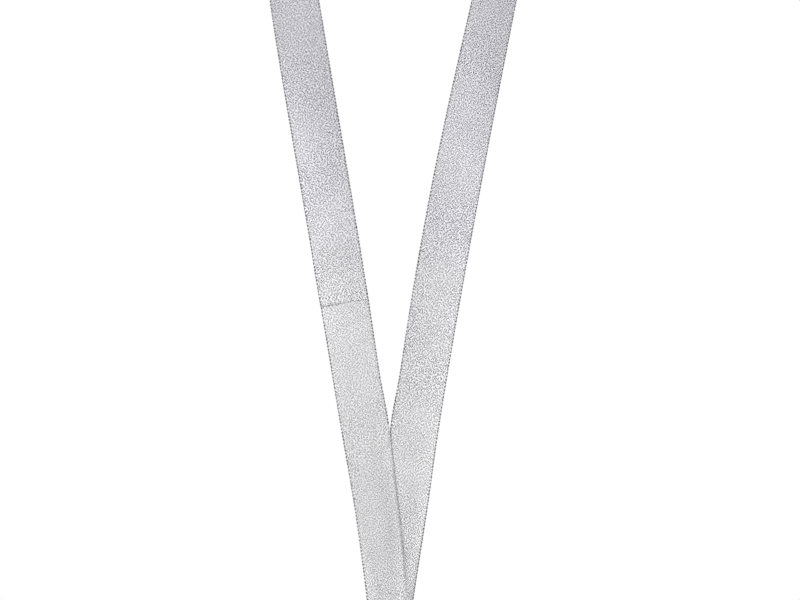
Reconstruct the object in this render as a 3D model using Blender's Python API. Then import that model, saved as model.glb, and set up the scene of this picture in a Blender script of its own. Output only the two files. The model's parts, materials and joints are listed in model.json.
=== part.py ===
"""Finisher medal on a metallic neck ribbon.

The ribbon is one flat strip, closed into a loop by a lap joint. It drapes over the wearer's
shoulders like a strip wound on a cone that leans back, and passes through the eye of a swivel
snap hook. The hook carries a jump ring, and the ring carries the medal.

Metres, +Z up. The front of the medal faces -Y. The origin is the centre of the medal's flat back.
"""

import math

import bmesh
import bpy
from mathutils import Matrix, Vector

# Medal disc: radii and depths, with depth counted from the flat back towards the front.
MEDAL_RADIUS = 0.030
MEDAL_THICKNESS = 0.004
MEDAL_EDGE = 0.0004
RIM_WIDTH = 0.0028
FIELD_DEPTH = 0.0030
RIDGE_DEPTH = 0.0034
RIDGE_WIDTH = 0.0006
ENAMEL_OUTER = 0.0200
ENAMEL_INNER = 0.0154
ENAMEL_FLOOR = 0.0024
ENAMEL_DEPTH = 0.0031
RECESS_RADIUS = 0.0130
RECESS_FLOOR = 0.0020
DRAFT = 0.0002
FIT = 0.0001

# Centre stack: adhesive disc, printed disc and resin dome, each with its radius and thickness.
ADHESIVE_RADIUS = 0.0122
ADHESIVE_THICKNESS = 0.0002
INSERT_RADIUS = 0.0127
INSERT_THICKNESS = 0.0005
DOME_RADIUS = 0.0124
DOME_HEIGHT = 0.0011
STACK_GAP = 0.00005
DISC_SIDES = 48

# Hanging loop on top of the medal.
EAR_RADIUS = 0.0042
EAR_BORE = 0.0021
EAR_THICKNESS = 0.0024
EAR_HEIGHT = MEDAL_RADIUS + 0.0033
EAR_FOOT = 0.0065
EAR_ROOT = MEDAL_RADIUS - 0.0015

# Jump ring, which hangs in the YZ plane.
RING_RADIUS = 0.0052
RING_WIRE = 0.0008
RING_SEAT = 0.0010

# Snap hook: a C in the XZ plane, with the mouth on +X.
HOOK_RADIUS = 0.0061
HOOK_HALF_WIDTH = 0.0013
HOOK_HALF_DEPTH = 0.0015
HOOK_HANG = 0.00265
HOOK_NOSE_ANGLE = 350
GATE_PIVOT_ANGLE = 55
CHEEK_RADIUS = 0.0018
HOOK_BEVEL = 0.0007
NOSE_THINNING = 0.0012
NECK_RADIUS = 0.0026
NECK_TOP = 0.0110
NECK_SINK = 0.0004
PIN_RADIUS = 0.0006
SLOT_HALF_DEPTH = 0.00095
SLOT_RADIUS = 0.0023

# Gate lever. Its arm is drawn as (radius about the hook's centre, angle), its tab and knuckle about
# the pivot. The spring lies in a pocket at the back of the knuckle.
GATE_HALF_DEPTH = 0.0007
KNUCKLE_RADIUS = 0.0016
GATE_FIT = 0.00015
ARM_OUTER = ((0.00545, -27), (0.00545, -18), (0.00570, -8), (0.00640, 5), (0.00700, 20), (0.00735, 34))
ARM_INNER = ((0.00455, 30), (0.00450, 18), (0.00430, 2), (0.00415, -12), (0.00415, -27))
THUMB_TAB = ((0.0017, -8), (0.0042, 14), (0.0048, 20), (0.0048, 27), (0.0042, 33), (0.0017, 68))
POCKET_MIDDLE = 0.00045
POCKET_HALF_DEPTH = 0.0005
SPRING_RADIUS = 0.0010
SPRING_WIRE = 0.00015
SPRING_TURNS = 2.2
SPRING_PITCH = 0.0004
SPRING_START = 0.00015
SPRING_END = 0.00055
SPRING_LEG = 0.0008

# Swivel: a wire eye with a boss that turns on a headed rivet.
RIVET_RADIUS = 0.0011
RIVET_HEAD_RADIUS = 0.0020
RIVET_HEAD = 0.0009
RIVET_DEPTH = 0.0030
SOCKET_ROOM = 0.0002
BOSS_FIT = 0.00025
OVERCUT = 0.001
SWIVEL_GAP = 0.0003
BOSS_RADIUS = 0.0030
BOSS_HEIGHT = 0.0026
EYE_WIRE = 0.0011
EYE_HALF_WIDTH = 0.00885
EYE_DROP = 0.0063
EYE_CORNER = 0.0022

# Ribbon strip, and the leaning cone that it is draped on.
RIBBON_WIDTH = 0.020
RIBBON_THICKNESS = 0.0006
CONE_HEIGHT = 0.480
SPREAD = 0.112
SPREAD_GROWTH = 0.203
SPREAD_ROUNDING = 0.010
LEAN = 0.0050
LEAN_HEIGHT = 0.400
LEAN_POWER = 6
GATHER_HEIGHT = 0.197
GATHER_LOSS = 0.27
GATHER_LIFT = 0.0025
LAYER_OFFSET = 0.0005
LAYER_FADE_START = 0.090
LAYER_FADE_END = 0.150
BIGHT_RADIUS = EYE_WIRE + 0.0002 + RIBBON_THICKNESS / 2
BIGHT_BLEND = 0.015
SHOULDER_DROP = 0.300
SHOULDER_GAP = 0.004
LAP_START = 0.137
LAP_LENGTH = 0.010
LAP_OFFSET = 0.0010
LAP_EASE = 0.015
FILM_THICKNESS = 0.0002
FILM_MARGIN = 0.0010
NAPE_FACET = 0.014

# Heights and depths that follow from the stack.
MID_Y = -MEDAL_THICKNESS / 2
MEDAL_PIVOT_Z = EAR_HEIGHT + RING_SEAT
RING_Z = MEDAL_PIVOT_Z + RING_RADIUS
HOOK_BAR_Z = RING_Z + HOOK_HANG
HOOK_Z = HOOK_BAR_Z + HOOK_RADIUS
HOOK_TOP_Z = HOOK_Z + NECK_TOP
BOSS_Z = HOOK_TOP_Z + SWIVEL_GAP
EYE_BOTTOM_Z = BOSS_Z + BOSS_HEIGHT - EYE_WIRE
EYE_BAR_Z = EYE_BOTTOM_Z + EYE_DROP
CHEST_Y = MID_Y


def clear_scene():
    """Remove everything that the startup file holds."""
    for item in list(bpy.data.objects):
        bpy.data.objects.remove(item, do_unlink=True)


def material(name, colour, roughness, metallic):
    """A Principled material."""
    result = bpy.data.materials.new(name)
    result.use_nodes = True
    shader = result.node_tree.nodes["Principled BSDF"]
    shader.inputs["Base Color"].default_value = (*colour, 1.0)
    shader.inputs["Roughness"].default_value = roughness
    shader.inputs["Metallic"].default_value = metallic
    return result


def add_object(name, mesh_builder, finish, origin=(0.0, 0.0, 0.0)):
    """Turn a bmesh drawn about its own origin into a named object placed there."""
    bmesh.ops.recalc_face_normals(mesh_builder, faces=mesh_builder.faces)
    mesh = bpy.data.meshes.new(name)
    mesh_builder.to_mesh(mesh)
    mesh_builder.free()
    mesh.shade_smooth()
    mesh.set_sharp_from_angle(angle=math.radians(35))
    result = bpy.data.objects.new(name, mesh)
    result.location = origin
    bpy.context.collection.objects.link(result)
    if finish:
        mesh.materials.append(finish)
    return result


def guide(name, mesh_builder, origin=(0.0, 0.0, 0.0)):
    """A shape used only by a Boolean, kept out of the model itself."""
    result = add_object(name, mesh_builder, None, origin)
    result.hide_render = True
    result.display_type = "WIRE"
    return result


def boolean(target, other, operation):
    """Add an exact Boolean modifier."""
    modifier = target.modifiers.new(operation.lower() + "_" + other.name, "BOOLEAN")
    modifier.operation = operation
    modifier.solver = "EXACT"
    modifier.object = other


def polar(radius, degrees):
    """A point in the XZ plane."""
    angle = math.radians(degrees)
    return Vector((radius * math.cos(angle), 0.0, radius * math.sin(angle)))


def smooth_step(start, end, value):
    """0 before start, 1 after end, with an even slope between them."""
    share = min(1.0, max(0.0, (value - start) / (end - start)))
    return share * share * (3.0 - 2.0 * share)


def turned(profile, segments, axis="Y", closed=True):
    """Spin a profile of (radius, place on the axis) points round the axis."""
    shape = bmesh.new()
    along = Vector((0.0, 1.0, 0.0)) if axis == "Y" else Vector((0.0, 0.0, 1.0))
    corners = [shape.verts.new(Vector((radius, 0.0, 0.0)) + along * place) for radius, place in profile]
    pairs = list(zip(corners, corners[1:]))
    if closed:
        pairs.append((corners[-1], corners[0]))
    edges = [shape.edges.new(pair) for pair in pairs]
    bmesh.ops.spin(
        shape,
        geom=corners + edges,
        cent=(0.0, 0.0, 0.0),
        axis=along,
        angle=math.tau,
        steps=segments,
        use_merge=True,
    )
    bmesh.ops.remove_doubles(shape, verts=shape.verts, dist=1e-7)
    return shape


def plate(outline, half_depth):
    """Extrude an XZ outline to both sides of the plane Y = 0."""
    shape = bmesh.new()
    corners = [shape.verts.new((point.x, -half_depth, point.z)) for point in outline]
    face = shape.faces.new(corners)
    extruded = bmesh.ops.extrude_face_region(shape, geom=[face])
    moved = [item for item in extruded["geom"] if isinstance(item, bmesh.types.BMVert)]
    bmesh.ops.translate(shape, verts=moved, vec=(0.0, 2.0 * half_depth, 0.0))
    return shape


def swept(path, radius, sides, closed):
    """A round wire along a path of points."""
    shape = bmesh.new()
    count = len(path)
    rings = []
    across = None
    for index, point in enumerate(path):
        before = path[index - 1] if closed or index else point
        after = path[(index + 1) % count] if closed or index < count - 1 else point
        tangent = (after - before).normalized()
        if across is None:
            across = tangent.cross(Vector((0.0, 1.0, 0.0))).normalized()
        across = (across - tangent * across.dot(tangent)).normalized()
        other = tangent.cross(across)
        ring = []
        for side in range(sides):
            turn = math.tau * side / sides
            offset = across * math.cos(turn) + other * math.sin(turn)
            ring.append(shape.verts.new(point + offset * radius))
        rings.append(ring)
    spans = list(zip(rings, rings[1:]))
    if closed:
        spans.append((rings[-1], rings[0]))
    for first, second in spans:
        for side in range(sides):
            following = (side + 1) % sides
            shape.faces.new((first[side], first[following], second[following], second[side]))
    if not closed:
        shape.faces.new(rings[0])
        shape.faces.new(rings[-1])
    return shape


# ---------------------------------------------------------------- ribbon


def strip_offset(drop):
    """How far the strip's centre line has moved sideways on the unrolled cone."""
    rounding = math.hypot(drop, SPREAD_ROUNDING) - SPREAD_ROUNDING
    return SPREAD * rounding + SPREAD_GROWTH * drop * drop


def strip_slope(drop):
    """Sideways travel for each metre of height, on the unrolled cone."""
    return SPREAD * drop / math.hypot(drop, SPREAD_ROUNDING) + 2.0 * SPREAD_GROWTH * drop


def nape_drop():
    """The height above the eye bar at which the strip runs level, behind the neck."""
    low, high = SHOULDER_DROP, CONE_HEIGHT * 1.2
    for _ in range(60):
        middle = (low + high) / 2.0
        level = strip_offset(middle) * strip_slope(middle) - (CONE_HEIGHT - middle)
        low, high = (middle, high) if level < 0.0 else (low, middle)
    return low


NAPE_DROP = nape_drop()
NAPE_ANGLE = math.atan2(strip_offset(NAPE_DROP), CONE_HEIGHT - NAPE_DROP)
CONE_SINE = NAPE_ANGLE / math.pi
CONE_COSINE = math.sqrt(1.0 - CONE_SINE * CONE_SINE)


def on_cone(down, sideways, side):
    """Roll a point of the unrolled strip onto the cone, whose front line hangs straight down."""
    reach = math.hypot(down, sideways)
    turn = math.atan2(sideways, down) / CONE_SINE
    x = side * reach * CONE_SINE * math.sin(turn)
    y = reach * CONE_COSINE * CONE_SINE * (1.0 - math.cos(turn))
    z = CONE_HEIGHT - reach * (CONE_COSINE**2 + CONE_SINE**2 * math.cos(turn))
    x += LEAN * math.sin(0.5 * math.pi * min(1.0, max(0.0, z / LEAN_HEIGHT))) ** LEAN_POWER
    normal = Vector(
        (
            side * CONE_COSINE * math.sin(turn),
            -math.cos(turn) * CONE_COSINE**2 - CONE_SINE**2,
            CONE_SINE * CONE_COSINE * (1.0 - math.cos(turn)),
        )
    )
    return Vector((x, y + CHEST_Y, z + EYE_BAR_Z)), normal


def layer_offset(drop):
    """Distance of one leg's middle surface from the plane between the two legs."""
    fade = 1.0 - smooth_step(LAYER_FADE_START, LAYER_FADE_END, drop)
    near_bar = max(0.0, 1.0 - drop / BIGHT_BLEND) ** 2
    return LAYER_OFFSET * fade + (BIGHT_RADIUS - LAYER_OFFSET) * near_bar


def gather(drop):
    """Share of the gathering left at a height above the eye bar: 1 at the bar, 0 where flat."""
    return max(0.0, 1.0 - drop / GATHER_HEIGHT) ** 2


def edge_lift(drop, across):
    """How far a gathered edge stands away from the bar; across runs from -1 to 1."""
    return GATHER_LIFT * gather(drop) ** 2 * abs(across) ** 3


def leg_point(side, drop, across, raise_by=0.0):
    """A point of one leg. side is -1 for the front, left leg and 1 for the back, right leg."""
    slope = strip_slope(drop)
    length = math.hypot(1.0, slope)
    shift = 0.5 * RIBBON_WIDTH * across * (1.0 - GATHER_LOSS * gather(drop))
    down = CONE_HEIGHT - drop + shift * slope / length
    sideways = strip_offset(drop) + shift / length
    point, normal = on_cone(down, sideways, side)
    point.y += side * (layer_offset(drop) + edge_lift(drop, across))
    return point + normal * raise_by


def bight_point(turn, across, raise_by=0.0):
    """A point of the turn round the eye bar, from the front leg (0) to the back leg (pi)."""
    half = 0.5 * RIBBON_WIDTH * (1.0 - GATHER_LOSS)
    reach = BIGHT_RADIUS + edge_lift(0.0, across) + raise_by
    y = CHEST_Y - reach * math.cos(turn)
    return Vector((half * across, y, EYE_BAR_Z - reach * math.sin(turn)))


def strip_solid(stations, widths, thickness=RIBBON_THICKNESS):
    """Close a strip: each station places a point from its share across and its height off the surface.

    The two sides are split along the same diagonals, so the twisted strip keeps its thickness.
    """
    shape = bmesh.new()
    rings = []
    for section in stations:
        outer = [shape.verts.new(section(width, 0.5 * thickness)) for width in widths]
        inner = [shape.verts.new(section(width, -0.5 * thickness)) for width in widths]
        rings.append(outer + inner[::-1])
    count = len(rings[0])
    for first, second in zip(rings, rings[1:]):
        for corner in range(count):
            following = (corner + 1) % count
            near, far = (corner, following) if corner < len(widths) else (following, corner)
            shape.faces.new((first[near], first[far], second[far]))
            shape.faces.new((first[near], second[far], second[near]))
    shape.faces.new(rings[0])
    shape.faces.new(rings[-1])
    return shape


def back_leg_station(drop):
    """A cross-section of the back leg, whose rear face continues the turn's outer face."""

    def section(across, raise_by):
        return leg_point(1, drop, across, -raise_by)

    return section


def front_leg_station(drop, extra=0.0):
    """A cross-section of the front leg, whose front face continues the turn's outer face."""

    def section(across, raise_by):
        return leg_point(-1, drop, -across, extra + raise_by)

    return section


def bight_station(turn):
    """A cross-section of the turn round the bar."""

    def section(across, raise_by):
        return bight_point(turn, across, raise_by)

    return section


def spaced(start, end, step):
    """Even places from start to end, both included."""
    count = max(1, round(abs(end - start) / step))
    return [start + (end - start) * index / count for index in range(count + 1)]


def lap_raise(drop):
    """How far the upper end of the strip stands in front of the lower end at the lap."""
    top = LAP_START + LAP_LENGTH
    return LAP_OFFSET * (1.0 - smooth_step(top, top + LAP_EASE, drop))


def build_ribbon(cloth, glue):
    """The strip in three lengths: round the neck, round the eye bar, and above the lap."""
    shoulder = SHOULDER_DROP - SHOULDER_GAP / 2
    edges = (-1.0, -0.6, 0.0, 0.6, 1.0)
    turns = [math.pi * step / 8 for step in range(1, 8)]
    lower = spaced(shoulder, LAYER_FADE_START, 0.030) + spaced(LAYER_FADE_START, BIGHT_BLEND, 0.018)[1:]
    lower += spaced(BIGHT_BLEND, 0.0, 0.005)[1:]
    rising = spaced(0.0, BIGHT_BLEND, 0.005) + spaced(BIGHT_BLEND, LAYER_FADE_START, 0.018)[1:]
    rising += spaced(LAYER_FADE_START, LAP_START, 0.020)[1:] + [LAP_START + LAP_LENGTH]
    stations = [back_leg_station(drop) for drop in lower]
    stations += [bight_station(turn) for turn in reversed(turns)]
    stations += [front_leg_station(drop) for drop in rising]
    add_object("ribbon_front", strip_solid(stations, edges), cloth)

    upper = [LAP_START] + spaced(LAP_START + LAP_LENGTH, LAP_START + LAP_LENGTH + LAP_EASE, 0.005)
    upper += spaced(LAP_START + LAP_LENGTH + LAP_EASE, shoulder, 0.030)[1:]
    stations = [front_leg_station(drop, lap_raise(drop)) for drop in upper]
    add_object("ribbon_left_upper", strip_solid(stations, edges), cloth)

    start = SHOULDER_DROP + SHOULDER_GAP / 2
    last = NAPE_DROP - NAPE_FACET / 2
    climb = spaced(start, last, 0.012)
    stations = [front_leg_station(drop) for drop in climb]
    stations += [neck_right_station(drop) for drop in reversed(climb)]
    add_object("ribbon_neck", strip_solid(stations, (-1.0, 1.0)), cloth)

    low, high = LAP_START + FILM_MARGIN, LAP_START + LAP_LENGTH - FILM_MARGIN
    stations = [front_leg_station(drop, LAP_OFFSET / 2) for drop in (low, high)]
    film = strip_solid(stations, (-0.94, -0.6, 0.0, 0.6, 0.94), FILM_THICKNESS)
    add_object("lap_bond_film", film, glue)


def neck_right_station(drop):
    """A cross-section of the right side of the neck loop, matching the left side's order."""

    def section(across, raise_by):
        return leg_point(1, drop, -across, raise_by)

    return section


# ---------------------------------------------------------------- medal


def build_medal(zinc, enamel, glue, printed, resin):
    """The cast disc with its ear, the enamel and the centre stack."""
    inner_rim = MEDAL_RADIUS - RIM_WIDTH
    profile = [
        (0.0, 0.0),
        (MEDAL_RADIUS - MEDAL_EDGE, 0.0),
        (MEDAL_RADIUS, -MEDAL_EDGE),
        (MEDAL_RADIUS, MEDAL_EDGE - MEDAL_THICKNESS),
        (MEDAL_RADIUS - MEDAL_EDGE, -MEDAL_THICKNESS),
        (inner_rim, -MEDAL_THICKNESS),
        (inner_rim - DRAFT, -FIELD_DEPTH),
        (ENAMEL_OUTER + RIDGE_WIDTH + DRAFT, -FIELD_DEPTH),
        (ENAMEL_OUTER + RIDGE_WIDTH, -RIDGE_DEPTH),
        (ENAMEL_OUTER, -RIDGE_DEPTH),
        (ENAMEL_OUTER - DRAFT, -ENAMEL_FLOOR),
        (ENAMEL_INNER + DRAFT, -ENAMEL_FLOOR),
        (ENAMEL_INNER, -RIDGE_DEPTH),
        (RECESS_RADIUS + DRAFT, -RIDGE_DEPTH),
        (RECESS_RADIUS, -RECESS_FLOOR),
        (0.0, -RECESS_FLOOR),
    ]
    medal = medal_piece("medal_body", turned(profile, DISC_SIDES, closed=False), zinc)

    top = [polar(EAR_RADIUS, 12.0 * step) + Vector((0.0, 0.0, EAR_HEIGHT)) for step in range(16)]
    outline = top + [Vector((-EAR_FOOT, 0.0, EAR_ROOT)), Vector((EAR_FOOT, 0.0, EAR_ROOT))]
    ear = guide("ear_guide", plate(outline, EAR_THICKNESS / 2), (0.0, MID_Y, 0.0))
    boolean(medal, ear, "UNION")
    cutter = guide("ear_bore_cutter", cross_pin(EAR_BORE, EAR_THICKNESS, 24), (0.0, MID_Y, EAR_HEIGHT))
    boolean(medal, cutter, "DIFFERENCE")

    wall = DRAFT + FIT
    channel = [
        (ENAMEL_OUTER - wall, -ENAMEL_DEPTH),
        (ENAMEL_INNER + wall, -ENAMEL_DEPTH),
        (ENAMEL_INNER + wall, -ENAMEL_FLOOR - STACK_GAP),
        (ENAMEL_OUTER - wall, -ENAMEL_FLOOR - STACK_GAP),
    ]
    medal_piece("enamel_ring", turned(channel, DISC_SIDES), enamel)

    depth = RECESS_FLOOR + STACK_GAP
    medal_piece("insert_adhesive", coin(ADHESIVE_RADIUS, depth, ADHESIVE_THICKNESS), glue)
    depth += ADHESIVE_THICKNESS + STACK_GAP
    medal_piece("centre_insert", coin(INSERT_RADIUS, depth, INSERT_THICKNESS), printed)
    depth += INSERT_THICKNESS + STACK_GAP
    bow = [(0.0, -depth), (DOME_RADIUS, -depth)]
    for step in range(1, 7):
        turn = 0.5 * math.pi * step / 6
        bow.append((DOME_RADIUS * math.cos(turn), -depth - DOME_HEIGHT * math.sin(turn)))
    bow[-1] = (0.0, -depth - DOME_HEIGHT)
    medal_piece("resin_dome", turned(bow, DISC_SIDES, closed=False), resin)


def coin(radius, depth, thickness):
    """A plain disc whose back is at the given depth."""
    profile = [(0.0, -depth), (radius, -depth), (radius, -depth - thickness), (0.0, -depth - thickness)]
    return turned(profile, DISC_SIDES, closed=False)


def medal_piece(name, shape, finish):
    """An object drawn about the world origin, whose own origin is the medal's pivot in the jump ring."""
    pivot = Vector((0.0, MID_Y, MEDAL_PIVOT_Z))
    shape.transform(Matrix.Translation(-pivot))
    return add_object(name, shape, finish, pivot)


# ---------------------------------------------------------------- hardware


def build_ring(nickel):
    """The jump ring, with its origin on the hook's lower bar."""
    wire = []
    for step in range(10):
        turn = math.tau * step / 10
        wire.append((RING_RADIUS + RING_WIRE * math.cos(turn), RING_WIRE * math.sin(turn)))
    shape = turned(wire, 32, axis="Z")
    shape.transform(Matrix.Rotation(math.pi / 2, 4, "Y"))
    shape.transform(Matrix.Translation((0.0, 0.0, RING_Z - HOOK_BAR_Z)))
    add_object("jump_ring", shape, nickel, (0.0, MID_Y, HOOK_BAR_Z))


def hook_outline():
    """The C of the hook: thick cheeks at the gate pivot, and a nose that thins from the inside."""
    points = []
    angles = list(range(GATE_PIVOT_ANGLE, HOOK_NOSE_ANGLE + 1, 10))
    if angles[-1] != HOOK_NOSE_ANGLE:
        angles.append(HOOK_NOSE_ANGLE)
    extra = CHEEK_RADIUS - HOOK_HALF_WIDTH

    def outer(angle):
        return HOOK_RADIUS + HOOK_HALF_WIDTH + extra * (1.0 - smooth_step(75, 110, angle))

    def inner(angle):
        swell = extra * (1.0 - smooth_step(75, 110, angle))
        return HOOK_RADIUS - HOOK_HALF_WIDTH - swell + NOSE_THINNING * smooth_step(300, 345, angle)

    points += [polar(outer(angle), angle) for angle in angles]
    tip = polar((outer(HOOK_NOSE_ANGLE) + inner(HOOK_NOSE_ANGLE)) / 2, HOOK_NOSE_ANGLE)
    half = (outer(HOOK_NOSE_ANGLE) - inner(HOOK_NOSE_ANGLE)) / 2
    points += [tip + polar(half, HOOK_NOSE_ANGLE + turn) for turn in (45, 90, 135)]
    points += [polar(inner(angle), angle) for angle in reversed(angles)]
    pivot = polar(HOOK_RADIUS, GATE_PIVOT_ANGLE)
    back = GATE_PIVOT_ANGLE - 180
    points += [pivot + polar(CHEEK_RADIUS, back + turn) for turn in (30, 60, 90, 120, 150)]
    return points


def post(radius, low, high, sides=20):
    """A cylinder along Z."""
    return turned([(0.0, high), (radius, high), (radius, low), (0.0, low)], sides, axis="Z", closed=False)


def cross_pin(radius, half_length, sides=16):
    """A cylinder along Y, centred on its own middle."""
    profile = [(0.0, half_length), (radius, half_length), (radius, -half_length), (0.0, -half_length)]
    return turned(profile, sides, closed=False)


def build_hook(nickel, steel):
    """The hook body, its gate with pin and spring, and the rivet that it turns on."""
    centre = Vector((0.0, MID_Y, HOOK_Z))
    hook = add_object("hook_body", plate(hook_outline(), HOOK_HALF_DEPTH), nickel, centre)
    rounding = hook.modifiers.new("rounded_edges", "BEVEL")
    rounding.width = HOOK_BEVEL
    rounding.segments = 2
    rounding.limit_method = "ANGLE"
    rounding.angle_limit = math.radians(60)
    neck = guide("hook_neck_guide", post(NECK_RADIUS, HOOK_RADIUS - NECK_SINK, NECK_TOP), centre)
    boolean(hook, neck, "UNION")
    pivot = centre + polar(HOOK_RADIUS, GATE_PIVOT_ANGLE)
    slot = guide("gate_slot_cutter", cross_pin(SLOT_RADIUS, SLOT_HALF_DEPTH, 28), pivot)
    boolean(hook, slot, "DIFFERENCE")
    bore = guide("pin_bore_cutter", cross_pin(PIN_RADIUS + FIT, 2 * HOOK_HALF_DEPTH), pivot)
    boolean(hook, bore, "DIFFERENCE")
    socket = post(RIVET_RADIUS + FIT, NECK_TOP - RIVET_DEPTH - SOCKET_ROOM, NECK_TOP + OVERCUT)
    boolean(hook, guide("rivet_socket_cutter", socket, centre), "DIFFERENCE")

    add_object("gate_pin", cross_pin(PIN_RADIUS, HOOK_HALF_DEPTH - FIT / 2), steel, pivot)
    build_gate(nickel, pivot)
    build_spring(steel, pivot)

    head_low = BOSS_Z + BOSS_HEIGHT + FIT - HOOK_TOP_Z
    profile = [
        (0.0, head_low + RIVET_HEAD),
        (RIVET_HEAD_RADIUS * 0.7, head_low + RIVET_HEAD),
        (RIVET_HEAD_RADIUS, head_low + RIVET_HEAD * 0.4),
        (RIVET_HEAD_RADIUS, head_low),
        (RIVET_RADIUS, head_low),
        (RIVET_RADIUS, -RIVET_DEPTH),
        (0.0, -RIVET_DEPTH),
    ]
    rivet = turned(profile, 20, axis="Z", closed=False)
    add_object("swivel_rivet", rivet, steel, (0.0, MID_Y, HOOK_TOP_Z))


def gate_outline():
    """The lever about its pivot: an arm that closes the mouth, and a thumb tab."""
    pivot = polar(HOOK_RADIUS, GATE_PIVOT_ANGLE)
    points = [polar(radius, angle) - pivot for radius, angle in ARM_OUTER]
    points += [polar(radius, angle) for radius, angle in THUMB_TAB]
    points += [polar(KNUCKLE_RADIUS, angle) for angle in range(90, 241, 25)]
    points += [polar(radius, angle) - pivot for radius, angle in ARM_INNER]
    return points


def build_gate(nickel, pivot):
    """The gate lever, hollowed on one side of its knuckle for the spring."""
    gate = add_object("gate_lever", plate(gate_outline(), GATE_HALF_DEPTH), nickel, pivot)
    pocket = cross_pin(KNUCKLE_RADIUS + GATE_FIT, POCKET_HALF_DEPTH, 24)
    cutter = guide("spring_pocket_cutter", pocket, pivot + Vector((0.0, POCKET_MIDDLE, 0.0)))
    boolean(gate, cutter, "DIFFERENCE")
    bore = guide("gate_bore_cutter", cross_pin(PIN_RADIUS + GATE_FIT, 2 * GATE_HALF_DEPTH), pivot)
    boolean(gate, bore, "DIFFERENCE")


def build_spring(steel, pivot):
    """A small torsion coil round the pin, with one leg against the slot's wall."""
    path = [polar(SPRING_RADIUS + SPRING_LEG, 150) + Vector((0.0, SPRING_START, 0.0))]
    steps = round(SPRING_TURNS * 12)
    for step in range(steps + 1):
        turn = step / 12.0
        point = polar(SPRING_RADIUS, 130 - 360 * turn)
        point.y = SPRING_START + min(SPRING_PITCH * turn, SPRING_END)
        path.append(point)
    add_object("gate_spring", swept(path, SPRING_WIRE, 6, False), steel, pivot)


def build_eye(nickel):
    """The wire eye with its boss. Its origin is on the top bar, round which the ribbon turns."""
    bar = Vector((0.0, MID_Y, EYE_BAR_Z))
    half = EYE_HALF_WIDTH - EYE_CORNER
    low = EYE_CORNER - EYE_DROP
    corners = ((half, -EYE_CORNER, 90), (half, low, 0), (-half, low, -90), (-half, -EYE_CORNER, -180))
    path = []
    for x, z, start in corners:
        for step in range(5):
            path.append(Vector((x, 0.0, z)) + polar(EYE_CORNER, start - 22.5 * step))
    eye = add_object("swivel_eye", swept(path, EYE_WIRE, 12, True), nickel, bar)
    low = BOSS_Z - EYE_BAR_Z
    boss = guide("eye_boss_guide", post(BOSS_RADIUS, low, low + BOSS_HEIGHT), bar)
    boolean(eye, boss, "UNION")
    bore = post(RIVET_RADIUS + BOSS_FIT, low - OVERCUT, low + BOSS_HEIGHT + OVERCUT)
    boolean(eye, guide("boss_bore_cutter", bore, bar), "DIFFERENCE")


def main():
    clear_scene()
    cloth = material("ribbon_lurex", (0.60, 0.60, 0.62), 0.35, 0.75)
    glue = material("bond_film", (0.80, 0.80, 0.78), 0.45, 0.0)
    zinc = material("antique_silver", (0.55, 0.55, 0.56), 0.33, 1.0)
    enamel = material("graphite_enamel", (0.035, 0.040, 0.048), 0.12, 0.0)
    printed = material("printed_disc", (0.62, 0.63, 0.65), 0.30, 0.9)
    resin = material("clear_resin", (0.90, 0.91, 0.92), 0.05, 0.0)
    nickel = material("nickel_plate", (0.66, 0.65, 0.63), 0.16, 1.0)
    steel = material("spring_steel", (0.50, 0.50, 0.50), 0.25, 1.0)
    build_ribbon(cloth, glue)
    build_eye(nickel)
    build_hook(nickel, steel)
    build_ring(nickel)
    build_medal(zinc, enamel, glue, printed, resin)


main()
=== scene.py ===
"""Looks of the finisher medal: lurex ribbon, plated hook and ring, antique silver medal."""

import json
import math

import bmesh
import bpy
import numpy as np
from mathutils import Matrix, Vector


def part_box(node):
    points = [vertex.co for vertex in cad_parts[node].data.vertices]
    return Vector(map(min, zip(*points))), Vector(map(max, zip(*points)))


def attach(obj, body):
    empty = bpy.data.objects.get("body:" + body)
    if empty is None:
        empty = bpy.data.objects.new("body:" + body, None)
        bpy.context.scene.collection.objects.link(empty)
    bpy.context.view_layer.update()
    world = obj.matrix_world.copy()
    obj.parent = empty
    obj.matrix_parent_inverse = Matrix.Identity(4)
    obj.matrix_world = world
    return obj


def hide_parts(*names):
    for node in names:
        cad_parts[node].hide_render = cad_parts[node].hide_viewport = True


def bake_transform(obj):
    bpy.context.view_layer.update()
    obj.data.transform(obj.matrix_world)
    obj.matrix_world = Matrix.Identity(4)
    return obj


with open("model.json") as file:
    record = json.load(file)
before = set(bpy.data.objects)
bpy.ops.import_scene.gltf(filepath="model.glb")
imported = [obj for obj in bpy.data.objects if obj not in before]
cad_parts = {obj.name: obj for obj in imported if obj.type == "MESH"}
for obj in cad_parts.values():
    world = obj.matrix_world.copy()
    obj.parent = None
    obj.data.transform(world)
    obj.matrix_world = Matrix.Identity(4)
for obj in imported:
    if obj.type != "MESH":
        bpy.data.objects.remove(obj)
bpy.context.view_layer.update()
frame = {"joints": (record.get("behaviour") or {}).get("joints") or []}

JOINTS = {joint["name"]: joint for joint in frame["joints"]}


def pivot(name):
    """Where a joint's axis passes, from the frame."""
    return Vector(JOINTS[name]["pos_m"])


BAR = pivot("eye_tilt")
SWIVEL = pivot("hook_swivel")
GATE = pivot("gate_open")
SHOULDER = pivot("ribbon_swing")
MEDAL_LOW, MEDAL_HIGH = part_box("medal_body")
MEDAL_RADIUS = -MEDAL_LOW.z
MEDAL_FRONT = -MEDAL_LOW.y

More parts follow.
